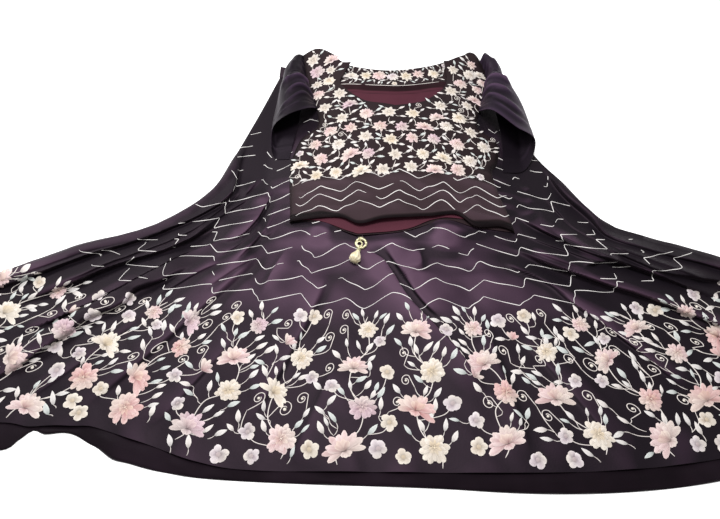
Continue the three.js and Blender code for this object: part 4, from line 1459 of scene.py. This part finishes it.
def disc(motifs, centre, radius, foot, relief, color, sides=8):
    """A small knot of thread."""
    angle = np.linspace(0, 2 * math.pi, sides, endpoint=False)
    ring = np.stack([np.cos(angle), np.sin(angle)], axis=1)
    points = np.concatenate([ring, ring * 0.62, [(0, 0)]]) * radius + centre
    lift = np.concatenate([np.full(sides, foot), np.full(sides, foot + relief * 0.8), [foot + relief]])
    k = np.arange(sides)
    n = (k + 1) % sides
    quads = np.stack([k, n, n + sides, k + sides], axis=1)
    caps = np.stack([k + sides, n + sides, np.full(sides, 2 * sides)], axis=1)
    colors = np.repeat(np.array(color)[None, :], len(points), axis=0)
    motifs.add(points, lift, colors, points, quads, caps)


def mixed(first, second, share):
    return tuple(a * (1 - share) + b * share for a, b in zip(first, second))


def ring_of_petals(motifs, draw, count, radius, inner, half, outline, foot, relief, deep, pale):
    """Petals round a middle, uneven in length, width and tone."""
    start = draw.uniform(0, 2 * math.pi)
    for k in range(count):
        heading = start + 2 * math.pi * k / count + draw.uniform(-0.14, 0.14)
        base = (-inner * math.sin(heading), inner * math.cos(heading))
        length = radius * draw.uniform(0.82, 1.08) - inner
        wide = half * radius * draw.uniform(0.85, 1.12)
        tone = draw.uniform(0, 0.45)
        petal(motifs, base, heading, length, wide, outline, foot + draw.uniform(0, 0.3), relief,
              mixed(deep, pale, tone), mixed(pale, deep, 0.35 * draw.random()),
              bend=draw.uniform(-0.12, 0.12))


def heart_knots(motifs, draw, radius, foot, color):
    """A tuft of knots in a flower's middle."""
    disc(motifs, (0, 0), 0.5 * radius, foot, 0.9, color)
    for k in range(5):
        angle = 2 * math.pi * k / 5 + draw.uniform(-0.2, 0.2)
        disc(motifs, (0.8 * radius * math.cos(angle), 0.8 * radius * math.sin(angle)), 0.34 * radius,
             foot - 0.2, 0.8, color, sides=6)


def bloom(motifs, draw, u, w, radius, colors, turn):
    """A double flower seen from the front, with ruffled petals."""
    deep, pale, heart = colors
    motifs.start(u, w, turn)
    ring_of_petals(motifs, draw, 12, radius, 0.24 * radius, 0.21, "ruffled", 0.3, 1.9, deep, pale)
    ring_of_petals(motifs, draw, 10, 0.74 * radius, 0.14 * radius, 0.23, "ruffled", 1.4, 1.9, deep, pale)
    ring_of_petals(motifs, draw, 7, 0.48 * radius, 0.05 * radius, 0.28, "ruffled", 2.3, 1.3, deep, heart)
    heart_knots(motifs, draw, 0.15 * radius, 2.7, heart)


def star_flower(motifs, draw, u, w, radius, colors, turn):
    """A double flower with pointed petals."""
    deep, pale, heart = colors
    motifs.start(u, w, turn)
    ring_of_petals(motifs, draw, 8, 1.06 * radius, 0.2 * radius, 0.25, "pointed", 0.3, 1.2, deep, pale)
    ring_of_petals(motifs, draw, 7, 0.70 * radius, 0.1 * radius, 0.28, "pointed", 1.1, 1.0, deep, heart)
    heart_knots(motifs, draw, 0.16 * radius, 1.7, heart)


def fan(motifs, draw, base, count, spread, length, half, outline, foot, deep, pale, sides=0.0):
    """Petals that spread from one place; sides lengthens the outer ones."""
    for k in range(count):
        share = k / (count - 1) * 2 - 1
        lean = share * spread + draw.uniform(-0.1, 0.1)
        reach = length * (1 + sides * abs(share)) * draw.uniform(0.86, 1.08)
        petal(motifs, base, lean, reach, half * draw.uniform(0.85, 1.15), outline,
              foot + draw.uniform(0, 0.25), 1.3, mixed(deep, pale, draw.uniform(0, 0.4)),
              mixed(pale, deep, 0.35 * draw.random()), bend=-0.12 * share)


def side_bloom(motifs, draw, u, w, radius, colors, turn):
    """The double flower seen from its side: tiers of petals over its cup, and some below it."""
    deep, pale, heart = colors
    motifs.start(u, w, turn)
    base = (0, -0.40 * radius)
    fan(motifs, draw, base, 9, 1.66, 1.12 * radius, 0.22 * radius, "ruffled", 0.3, deep, pale, 0.16)
    fan(motifs, draw, base, 7, 1.15, 0.92 * radius, 0.20 * radius, "ruffled", 1.3, deep, pale, 0.1)
    fan(motifs, draw, base, 4, 0.6, 0.66 * radius, 0.20 * radius, "round", 2.2, deep, heart)
    for lean in (2.25, -2.25, 2.8, -2.8):
        petal(motifs, base, lean, 0.42 * radius, 0.16 * radius, "round", 0.7, 1.0, deep, pale, across=2)


def small_flower(motifs, draw, u, w, radius, colors, turn):
    """Five round petals and a knot."""
    deep, pale, heart = colors
    motifs.start(u, w, turn)
    ring_of_petals(motifs, draw, 5, radius, 0.12 * radius, 0.43, "round", 0.3, 1.1, deep, pale)
    disc(motifs, (0, 0), 0.26 * radius, 1.2, 0.7, mixed(heart, deep, 0.7))


def bud(motifs, draw, u, w, radius, colors, turn):
    """A half-open flower of a few petals."""
    deep, pale, _ = colors
    motifs.start(u, w, turn)
    fan(motifs, draw, (0, -0.7 * radius), 4, 0.6, 1.7 * radius, 0.34 * radius, "ruffled", 0.3, deep, pale)


FLOWERS = {"bloom": bloom, "star": star_flower, "side": side_bloom, "small": small_flower, "bud": bud}


# --- Stitches: palettes -------------------------------------------------------------------
def threads_of(*codes):
    return [tuple(linear(code)) for code in codes]


# Deep, pale and heart thread of each flower.
FLOWER_COLORS = {
    "salmon": threads_of("b2696a", "f5d6d2", "f3d7c6"),
    "blush": threads_of("ad7679", "f9e5e3", "f7e3d6"),
    "rose": threads_of("966b7b", "f0d9e0", "f0d8d8"),
    "cream": threads_of("b8a38c", "fdf5ea", "f5e4c6"),
    "ivory": threads_of("ac9d96", "fcf5ee", "f6ead8"),
    "white": threads_of("a18d98", "faf2f3", "f3e4dc"),
}
LEAF_COLORS = [
    threads_of("cfcac8", "f4f1ee"),
    threads_of("b9c2bf", "e3e7e4"),
    threads_of("d6cdc8", "f7f2ee"),
]
KNOT_COLOR = linear("f3ece0")
CREAM_SIDE = np.array([1.0, 0.92, 0.81])  # a flower's cream side, as shares of its own red
CREAM_MOST = 0.60  # how far the colours go over to cream at the flower's edge


# --- Stitches: the layout -----------------------------------------------------------------
def away_from(u, w, turn, distance):
    """The place this far from u, w. The direction turns anticlockwise from straight up."""
    return u - distance * math.sin(turn), w + distance * math.cos(turn)


STALK = 1.3  # width of the thin stems
CURL_TURNS, CURL_CLOSES = 1.2, 0.70  # how far a curl winds, and what share of its radius it loses


class Layout:
    """Sets motifs and stems out on one ground, and keeps new ones clear of those before. taken
    lists the places in use and their radius, and nodes lists places along the stems. scale is of
    the stems' width, and no stalk starts below stalk_floor."""

    def __init__(self, ground, seed, scale=1.0, stalk_floor=0.0):
        self.ground = ground
        self.draw = random.Random(seed)
        self.stalk_floor = stalk_floor
        self.flowers, self.leaves = Motifs(ground), Motifs(ground)
        self.stems = Threads(ground)
        self.scale = scale
        self.taken = []
        self.nodes = []

    def free(self, u, w, radius, slack=0.0):
        if not self.ground.inside(u, w, radius):
            return False
        if not self.taken:
            return True
        spots = np.array(self.taken)
        gap = np.hypot(spots[:, 0] - u, spots[:, 1] - w) - spots[:, 2] - radius
        return gap.min() > -slack

    def take(self, u, w, radius):
        self.taken.append((u, w, radius))

    def flower(self, kind, u, w, radius, hue, turn=0.0):
        first = len(self.flowers.local)
        FLOWERS[kind](self.flowers, self.draw, u, w, radius, FLOWER_COLORS[hue], turn)
        self.flowers.tint(first, self.draw.uniform(0, 2 * math.pi), radius)
        self.take(u, w, radius * 0.95)

    def leaf(self, u, w, turn, length):
        draw = self.draw
        color, edge = draw.choice(LEAF_COLORS)
        self.leaves.start(u, w, turn)
        half = length * draw.uniform(0.16, 0.215)
        petal(self.leaves, (0, 0), 0, length, half, "leaf", 0.25, 1.0, color, edge, across=2,
              bend=draw.uniform(-0.18, 0.18))
        self.take(*away_from(u, w, turn, 0.5 * length), 0.3 * length)

    def stem(self, points, width=2.0):
        """A smooth stem through a few places."""
        length = sum(math.dist(a, b) for a, b in zip(points, points[1:]))
        curve = catmull_rom(points, 24 * len(points))
        path = evenly(curve, max(4, int(length / 4.0)))
        self.stems.add(path, width * self.scale)
        self.nodes += path[::4].tolist()

    def joint(self, u, w, below, longest):
        """The nearest place on a stem under this place, or None if there is none near enough."""
        nodes = np.array(self.nodes)
        lower = nodes[(nodes[:, 1] < w - below) & (nodes[:, 1] > self.stalk_floor)]
        if not len(lower):
            return None
        away = np.hypot(lower[:, 0] - u, lower[:, 1] - w)
        return lower[np.argmin(away)] if away.min() < longest else None

    def stalk(self, u, w, below, longest):
        """A curved stalk that joins a place to the nearest stem under it."""
        start = self.joint(u, w, below, longest)
        if start is not None:
            bulge = 0.22 * (u - start[0])
            middle = ((start[0] + u) / 2 + bulge, (start[1] + w) / 2 - 0.3 * below)
            self.stem([tuple(start), middle, (u, w)], STALK)

    def sprig(self, u, w, turn, reach, bend, length):
        """A leaf on a thin curved stalk, if there is room for it."""
        tip_turn = turn + bend
        mid = away_from(u, w, turn, 0.5 * reach)
        tip = away_from(*mid, tip_turn, 0.5 * reach)
        if not self.free(*away_from(*tip, tip_turn, 0.5 * length), 0.34 * length):
            return False
        self.stem([(u, w), mid, tip], STALK)
        self.leaf(*tip, tip_turn, length)
        return True

    def curl(self, u, w, turn, radius, hand):
        """A stem that leaves u, w and winds up into a spiral with a knot in its middle."""
        middle = away_from(u, w, turn, 2 * radius)
        if not self.free(*middle, radius * 1.05):
            return False
        winding = np.linspace(0, 1, 34)
        angle = turn - math.pi / 2 + hand * (math.pi * 0.5 + winding * 2 * math.pi * CURL_TURNS)
        shrink = radius * (1 - CURL_CLOSES * winding**0.9)
        spiral = np.stack([middle[0] + shrink * np.cos(angle), middle[1] + shrink * np.sin(angle)], axis=1)
        lead = catmull_rom([(u, w), ((u + spiral[0, 0]) / 2, (w + spiral[0, 1]) / 2), spiral[0]], 8)
        self.stems.add(np.concatenate([lead[:-1], spiral]), STALK * self.scale)
        self.leaves.start(*middle, 0)
        disc(self.leaves, (0, 0), 0.2 * radius, 0.4, 1.4, KNOT_COLOR)
        self.take(*middle, radius * 1.1)
        return True


# Plants of the skirt's border. Each row is a flower on the plant's stem: its kind, how far it
# stands to the side of the plant's middle and above the hem, its radius, and its lean.
PLANTS = [
    [("bloom", -8, 36, 26, 0.0), ("side", 20, 98, 24, -0.3), ("small", -40, 112, 14, 0.0),
     ("bloom", -14, 168, 20, 0.0), ("side", 14, 232, 19, -0.4)],
    [("side", 10, 46, 26, 0.2), ("small", 48, 74, 14, 0.0), ("bloom", -20, 122, 22, 0.0),
     ("bud", 40, 150, 12, -0.6), ("side", 12, 182, 22, 0.3), ("bloom", -8, 244, 17, 0.0)],
    [("bloom", 14, 52, 25, 0.0), ("small", -42, 58, 14, 0.0), ("side", -16, 120, 24, 0.45),
     ("small", 38, 146, 13, 0.0), ("bloom", 10, 190, 20, 0.0), ("bud", -36, 222, 11, 0.5)],
    [("side", -14, 38, 25, -0.4), ("bloom", 18, 104, 23, 0.0), ("small", -40, 138, 13, 0.0),
     ("side", -12, 172, 22, -0.2), ("small", 34, 212, 12, 0.0), ("bloom", 4, 240, 18, 0.0)],
]
PLANT_STEP = 123.0  # along the hem, from one plant's middle to the next, or a little more
BORDER_TOP = 272.0  # how far the border reaches above the hem
HUES = ["blush", "salmon", "cream", "blush", "salmon", "blush", "rose", "blush"]
OFF_STEM = ("small", "bud")  # the kinds that stand beside the stem, on stalks of their own


def plant_flowers(layout, middle, recipe, mirror):
    """Sets out a plant's flowers. Returns the kind, place and radius of each."""
    draw = layout.draw
    edge = layout.ground.along[-1]
    spots = []
    for kind, p, q, radius, lean in recipe:
        u = middle + mirror * p + draw.uniform(-7, 7)
        w = q + draw.uniform(-8, 8)
        size = radius * draw.uniform(0.88, 1.06)
        u = max(-edge + size + 4, min(edge - size - 4, u))
        while not layout.ground.inside(u, w, size):
            u *= 0.99
        hue = "white" if kind == "small" else draw.choice(HUES)
        layout.flower(kind, u, w, size, hue, -mirror * lean + draw.uniform(-0.2, 0.2))
        spots.append((kind, u, w, size))
    return spots


def plant(layout, middle, recipe, mirror):
    """One plant of the border, with a winding stem through its large flowers. Returns places
    along the stem, and the flowers."""
    draw = layout.draw
    spots = plant_flowers(layout, middle, recipe, mirror)
    main = [(u, w) for kind, u, w, _ in spots if kind not in OFF_STEM]
    foot = (main[0][0] + draw.choice((-1, 1)) * draw.uniform(4, 9), max(6, main[0][1] - 30))
    tip = (main[-1][0] + draw.uniform(-14, 14), main[-1][1] + 26)
    places = swayed(draw, [foot] + main + [tip])
    layout.stem(places, 1.6)
    for kind, u, w, _ in spots:
        if kind in OFF_STEM:
            layout.stalk(u, w, below=14, longest=90)
    return evenly(catmull_rom(places[1:-1], 90), 13), spots


def swayed(draw, places):
    """The places with one more between each two, to the left and right of the way by turns."""
    result, hand = [places[0]], draw.choice((-1, 1))
    for (u0, w0), (u1, w1) in zip(places, places[1:]):
        off = hand * draw.uniform(0.14, 0.26)
        result += [((u0 + u1) / 2 - off * (w1 - w0), (w0 + w1) / 2 + off * (u1 - u0)), (u1, w1)]
        hand = -hand
    return result


def dress_plant(layout, nodes, spots):
    """Curls and sprays of leaves along a plant, where there is room."""
    draw = layout.draw
    for k, (u, w) in enumerate(nodes):
        if k % 3 == 1:
            hand = 1 if k % 2 else -1
            layout.curl(u, w, hand * draw.uniform(0.9, 1.5), draw.uniform(12, 16), hand)
    for kind, u, w, size in spots:
        for lean in (2.0,) if kind in OFF_STEM else (1.25, -1.25, 0.7, -0.7):
            lean += draw.uniform(-0.25, 0.25)
            start = away_from(u, w, lean, 0.8 * size)
            layout.sprig(*start, lean, draw.uniform(10, 24), -0.4 * lean, draw.uniform(16, 23))
    for u, w in nodes:
        side = draw.choice((1, -1))
        lean = side * draw.uniform(0.6, 1.2)
        layout.sprig(u, w, lean, draw.uniform(12, 28), -0.35 * side, draw.uniform(14.5, 22))


def fill(layout, u_range, w_range, tries, sizes, hues):
    """Small flowers, curls and leaves in the gaps that are left. sizes are the room that each
    needs: the flower's, the curl's and the leaf's."""
    draw = layout.draw
    for _ in range(tries):
        u, w = draw.uniform(*u_range), draw.uniform(*w_range)
        turn = draw.uniform(-1.2, 1.2)
        if layout.free(u, w, sizes[0]):
            layout.flower("small", u, w, sizes[0] * draw.uniform(0.62, 0.72), draw.choice(hues))
            layout.stalk(u, w, 0.8 * sizes[0], 4.5 * sizes[0])
        elif layout.free(u, w, sizes[1]):
            radius = sizes[1] * draw.uniform(0.68, 0.8)
            start = away_from(u, w, turn, -1.6 * radius)
            near_stem = layout.joint(*start, 4, 4 * radius) is not None
            if near_stem and layout.curl(*start, turn, radius, 1):
                layout.stalk(*start, 4, 4 * radius)
        elif layout.free(u, w, sizes[2]):
            size = sizes[2] * draw.uniform(1.65, 2.05)
            start = away_from(u, w, turn, -0.8 * size)
            if layout.sprig(*start, turn, 0.5 * size, 0.4, size):
                layout.stalk(*start, 3, 2.5 * size)


def skirt_border(ground):
    layout = Layout(ground, seed=41, stalk_floor=34)
    reach = ground.along[-1] - 34
    count = int(2 * reach / PLANT_STEP)
    plants = []
    for k in range(count + 1):
        middle = -reach + k * 2 * reach / count
        plants.append(plant(layout, middle, PLANTS[k % len(PLANTS)], 1 if (k // 2) % 2 else -1))
    for nodes, spots in plants:
        dress_plant(layout, nodes, spots)
    fill(layout, (-reach - 20, reach + 20), (14, BORDER_TOP), tries=2600, sizes=(21.0, 15.0, 11.5),
         hues=["white", "cream"])
    return layout


def zigzag_corners(draw, start, stop, period, rise, slant=0.0):
    """Corners of a zigzag. With slant it falls steeply near its start and rises steeply near
    its stop."""
    middle, half = (start + stop) / 2, (stop - start) / 2
    count = int(2 * half / period)
    corners = []
    for k in range(-count, count + 1):
        u = middle + 0.5 * k * period + draw.uniform(-0.07, 0.07) * period
        if k % 2:
            u += slant * period * max(-1.0, min(1.0, 1.7 * (u - middle) / half))
        level = (-0.5 if k % 2 else 0.5) * rise * draw.uniform(0.65, 1.3)
        level *= 1 + 1.2 * slant * abs(u - middle) / half
        corners.append((u, level + draw.uniform(-0.12, 0.12) * rise))
    return corners


def zigzag_runs(draw, corners, middle, reach, breaks, side_breaks):
    """The line through the corners, cut into runs where it is broken."""
    line, runs = [corners[0]], []
    for (u0, level0), (u1, level1) in zip(corners, corners[1:]):
        side = abs((u0 + u1) / 2 - middle) / reach
        gap_from, gap_to = 2.0, 2.0  # past the leg's end, so it has no gap
        if draw.random() < breaks + side_breaks * side**1.5:
            gap_from = draw.uniform(0.1, 0.8)
            gap_to = gap_from + draw.uniform(0.15, 0.35 + 0.45 * side)
        sway = draw.uniform(-0.1, 0.1) * abs(level1 - level0)
        steps = max(4, int(math.hypot(u1 - u0, level1 - level0) / 3.5))
        for k in range(1, steps + 1):
            f = k / steps
            if gap_from < f < gap_to:
                runs.append(line)
                line = []
            else:
                level = level0 + (level1 - level0) * f + sway * math.sin(2 * math.pi * f)
                line.append((u0 + (u1 - u0) * f, level))
    return runs + [line]


def zigzag(layout, w, corners, reach, width, breaks, side_breaks=0.0, bow=0.0):
    """A row of zigzag through its corners, rounded at them and here and there broken. bow lifts
    its ends; reach is how far it runs to each side of its middle."""
    middle = (corners[0][0] + corners[-1][0]) / 2
    for line in zigzag_runs(layout.draw, corners, middle, reach, breaks, side_breaks):
        points = np.array([point for point in line if abs(point[0] - middle) < reach])
        if len(points) > 4:
            points[1:-1] = 0.25 * points[:-2] + 0.5 * points[1:-1] + 0.25 * points[2:]
            points[:, 1] += w + bow * np.abs((points[:, 0] - middle) / reach) ** 3
            thin = 1 + 0.3 * np.sin(points[:, 0] / 17 + w)
            layout.stems.add(points, width * thin)


# The lowest row's height above the hem, the step up to the next, the rows, and their size.
ZIGZAG_FOOT, ZIGZAG_STEP, ZIGZAG_ROWS = 296.0, 38.0, 13
ZIGZAG_PERIOD, ZIGZAG_RISE, ZIGZAG_SLANT = 80, 22, 0.24


def skirt_zigzags(ground):
    """Rows above the border. The cloth narrows towards the waist, but the zigzags stay as large."""
    layout = Layout(ground, seed=77)
    reach = 0.985 * ground.along[-1]
    for row in range(ZIGZAG_ROWS):
        w = ZIGZAG_FOOT + ZIGZAG_STEP * row
        _, down = ground.cloth(np.array([0.0]), np.array([w]))
        width = np.hypot(*(np.array(skirt_plan(1.0, down)) - np.array(skirt_plan(0.0, down))))[0]
        stretch = 2 * ground.along[-1] / width
        corners = zigzag_corners(layout.draw, -reach, reach, stretch * ZIGZAG_PERIOD, ZIGZAG_RISE,
                                 ZIGZAG_SLANT)
        zigzag(layout, w, corners, reach, width=1.1, breaks=0.08 + 0.02 * row, side_breaks=0.65,
               bow=70 - 4 * row)
    return layout


# The choli's flowers: the lowest and highest they reach, the step from row to row, and where
# the shoulders begin, which have more of them.
CHOLI_FLOOR_Y, CHOLI_CEILING_Y, CHOLI_FLOWER_STEP, SHOULDER_Y = 84.0, 480.0, 39.0, 360.0


def inside_choli(x, y, margin):
    """True on the choli's front, clear of its edges and of the neckline."""
    base = np.clip(y, CHOLI_FOOT, CHOLI_TOP)
    if not choli_left(base) + margin < x < choli_right(base) - margin:
        return False
    if y > shoulder_line(x) - margin:
        return False
    level = max(y, NECK_BOTTOM + 1)
    return not (y > NECK_BOTTOM - margin and neck_left(level) - margin < x < neck_right(level) + margin)


def choli_places(draw):
    """Places for flowers, each with its radius: staggered rows, then more on the shoulders."""
    places, y, row = [], CHOLI_FLOOR_Y + 14, 0
    while y < CHOLI_CEILING_Y:
        x = -190 + (row % 2) * 24 + draw.uniform(-6, 6)
        while x < 260:
            places.append((x + draw.uniform(-6, 6), y + draw.uniform(-7, 7), draw.uniform(14.0, 17.5)))
            x += draw.uniform(46, 55)
        y += CHOLI_FLOWER_STEP
        row += 1
    for _ in range(300):
        x = draw.choice((draw.uniform(-210, -50), draw.uniform(100, 260)))
        places.append((x, draw.uniform(SHOULDER_Y, CHOLI_CEILING_Y), draw.uniform(12.5, 15.5)))
    return places


def choli_flowers(ground):
    layout = Layout(ground, seed=19, scale=0.8)
    draw = layout.draw
    for u, w, radius in choli_places(draw):
        margin = radius * (0.8 if w < SHOULDER_Y else 1.05)
        if inside_choli(u, w, margin) and layout.free(u, w, radius, 2):
            hue = draw.choice(["ivory", "blush", "blush", "ivory", "ivory", "blush", "cream", "rose"])
            kind = draw.choice(["star", "bloom", "side", "bloom", "star"])
            layout.flower(kind, u, w, radius, hue, draw.uniform(-0.5, 0.5))
    for k, (u, w, radius) in enumerate(list(layout.taken)):
        dress_choli_flower(layout, k, u, w, radius)
    fill(layout, (-190, 255), (CHOLI_FLOOR_Y, CHOLI_CEILING_Y), tries=1500, sizes=(12.5, 9.5, 7.0),
         hues=["white", "ivory", "rose"])
    return layout


def dress_choli_flower(layout, k, u, w, radius):
    """A stem below the flower, a curl at every third, and leaves round it."""
    draw = layout.draw
    foot = (u + draw.uniform(-9, 9), w - 38)
    if foot[1] > CHOLI_FLOOR_Y:
        layout.stem([(u, w - radius), (u + draw.uniform(-5, 5), w - radius - 12), foot], 1.5)
    if k % 3 == 0:
        hand = draw.choice((-1, 1))
        layout.curl(u, w, hand * 1.35, draw.uniform(8.5, 10.5), hand)
    for lean in (1.2, -1.2, 2.1, -2.1):
        lean += draw.uniform(-0.3, 0.3)
        start = away_from(u, w, lean, radius)
        if inside_choli(*away_from(*start, lean, 16), 2):
            layout.sprig(*start, lean, draw.uniform(4, 9), -0.3 * lean, draw.uniform(13, 17))


CHEVRON_ROWS = [(12, 208), (36, 208), (60, 207), (86, 201)]  # height of each, and its half width


def choli_zigzags(ground):
    """Rows of chevrons below the flowers, all with nearly the same corners."""
    layout = Layout(ground, seed=23)
    draw = layout.draw
    first = zigzag_corners(draw, -210, 276, period=78, rise=27)
    for w, reach in CHEVRON_ROWS:
        corners = [(u + draw.uniform(-5, 5), level * draw.uniform(0.8, 1.15)) for u, level in first]
        zigzag(layout, w + draw.uniform(-2, 2), corners, reach, width=1.2, breaks=0.06)
    return layout


def neck_piping(ground):
    """A thin pale cord along the lining's upper edge."""
    layout = Layout(ground, seed=5)
    x = np.arange(-88.0, 139.0, 3.0)
    layout.stems.add(np.stack([x, lining_crest(x) - 1.2], axis=1), 1.15)
    return layout


# The band of flowers round the back of the neck: its foot above the lining, and its spacing.
BAND_INSET, BAND_STEP = 8.0, 33.0


def inside_band(x, y, margin):
    """True on the choli's back where it shows above the lining, between the shoulders."""
    left, right = neck_left(max(y, NECK_BOTTOM + 1)), neck_right(max(y, NECK_BOTTOM + 1))
    return left + 2 < x < right - 2 and lining_crest(x) + BAND_INSET < y < back_neck(x) - 0.4 * margin


def neck_band(ground):
    """Flowers in a row round the back of the neck, with leaves between and below them."""
    layout = Layout(ground, seed=31, scale=0.7)
    draw = layout.draw
    x = -62.0
    while x < 135:
        y = (0.42 * lining_crest(x) + 0.58 * back_neck(x)) + draw.uniform(-4, 4)
        hue = draw.choice(["ivory", "white", "cream", "blush"])
        kind = draw.choice(["bloom", "side", "star"])
        layout.flower(kind, x, y, draw.uniform(14, 17), hue, draw.uniform(-0.6, 0.6))
        x += BAND_STEP * draw.uniform(0.85, 1.15)
    for u, w, radius in list(layout.taken):
        for lean in (0.5, -0.6, 2.4, -2.5, 3.1):
            lean += draw.uniform(-0.3, 0.3)
            start = away_from(u, w, lean, radius)
            layout.sprig(*start, lean, draw.uniform(3, 6), -0.2 * lean, draw.uniform(10, 14))
    fill(layout, (-85, 150), (345, 430), tries=1400, sizes=(9.0, 8.0, 5.0), hues=["white", "cream"])
    return layout


# --- Stitches: threads, and the whole embroidery ------------------------------------------
def finish_thread(nodes, color, uneven, dents, strength, depth):
    """Soft thread of this colour, here and there darker, with dents between its strands."""
    grey = nodes.ramp(uneven, [(0.2, (0.80, 0.78, 0.78, 1)), (0.8, (1, 1, 1, 1))])
    nodes.shade(Base_Color=nodes.times(color, grey), Roughness=0.55, Sheen_Weight=0.15,
                Normal=nodes.bump(dents, strength, depth))
    return nodes.material


def petal_thread(name):
    """Satin stitch in each motif's own colours, with threads that run along each petal."""
    nodes = Nodes(name)
    place = nodes.add("Attribute", attribute_name="stitch").outputs["Vector"]
    color = nodes.add("Attribute", attribute_name="thread").outputs["Color"]
    wave = {"Vector": place, "Scale": 0.6, "Distortion": 0.6}
    strands = nodes.add("TexWave", wave, bands_direction="X").outputs["Fac"]
    return finish_thread(nodes, color, nodes.noise(1.2, 2.0, 0.6, place), strands, 0.5, 0.0004)


def line_thread(name, code):
    """Thread of one colour, for stems and zigzags."""
    nodes = Nodes(name)
    uneven = nodes.noise(700.0, 2.0, 0.6)
    return finish_thread(nodes, linear(code), uneven, uneven, 0.4, 0.0003)


def add_embroidery(grid, lanes):
    """All the stitches, on the skirt's front, the choli's front and back, and the lining."""
    petals, leaves = petal_thread("petal_thread"), petal_thread("leaf_thread")
    cream, white = line_thread("stem_thread", "ece4de"), line_thread("zigzag_thread", "fcf9f6")
    skirt = SkirtGround(grid, lanes)
    choli = PlanGround(front_top, inside_choli)
    back = PlanGround(back_top, inside_band)
    planted = {"skirt": skirt_border(skirt), "choli": choli_flowers(choli), "neck_band": neck_band(back)}
    for name, layout in planted.items():
        layout.flowers.build(name + "_flowers", petals, "thread_pink")
        layout.leaves.build(name + "_leaves", leaves, "thread_pale")
        layout.stems.build(name + "_stems", cream, "thread_cream")
    lining = PlanGround(lining_top, inside_band)
    skirt_zigzags(skirt).stems.build("skirt_zigzags", white, "thread_cream")
    choli_zigzags(choli).stems.build("choli_zigzags", white, "thread_cream")
    neck_piping(lining).stems.build("neck_piping", cream, "thread_cream")


# --- The whole garment --------------------------------------------------------------------
add_camera()
add_drawstring(add_tassel())
skirt_front_grid, skirt_front_lanes = add_skirt()
add_choli()
add_sleeves()
add_waistband()
add_embroidery(skirt_front_grid, skirt_front_lanes)
add_studio()

bpy.context.view_layer.update()
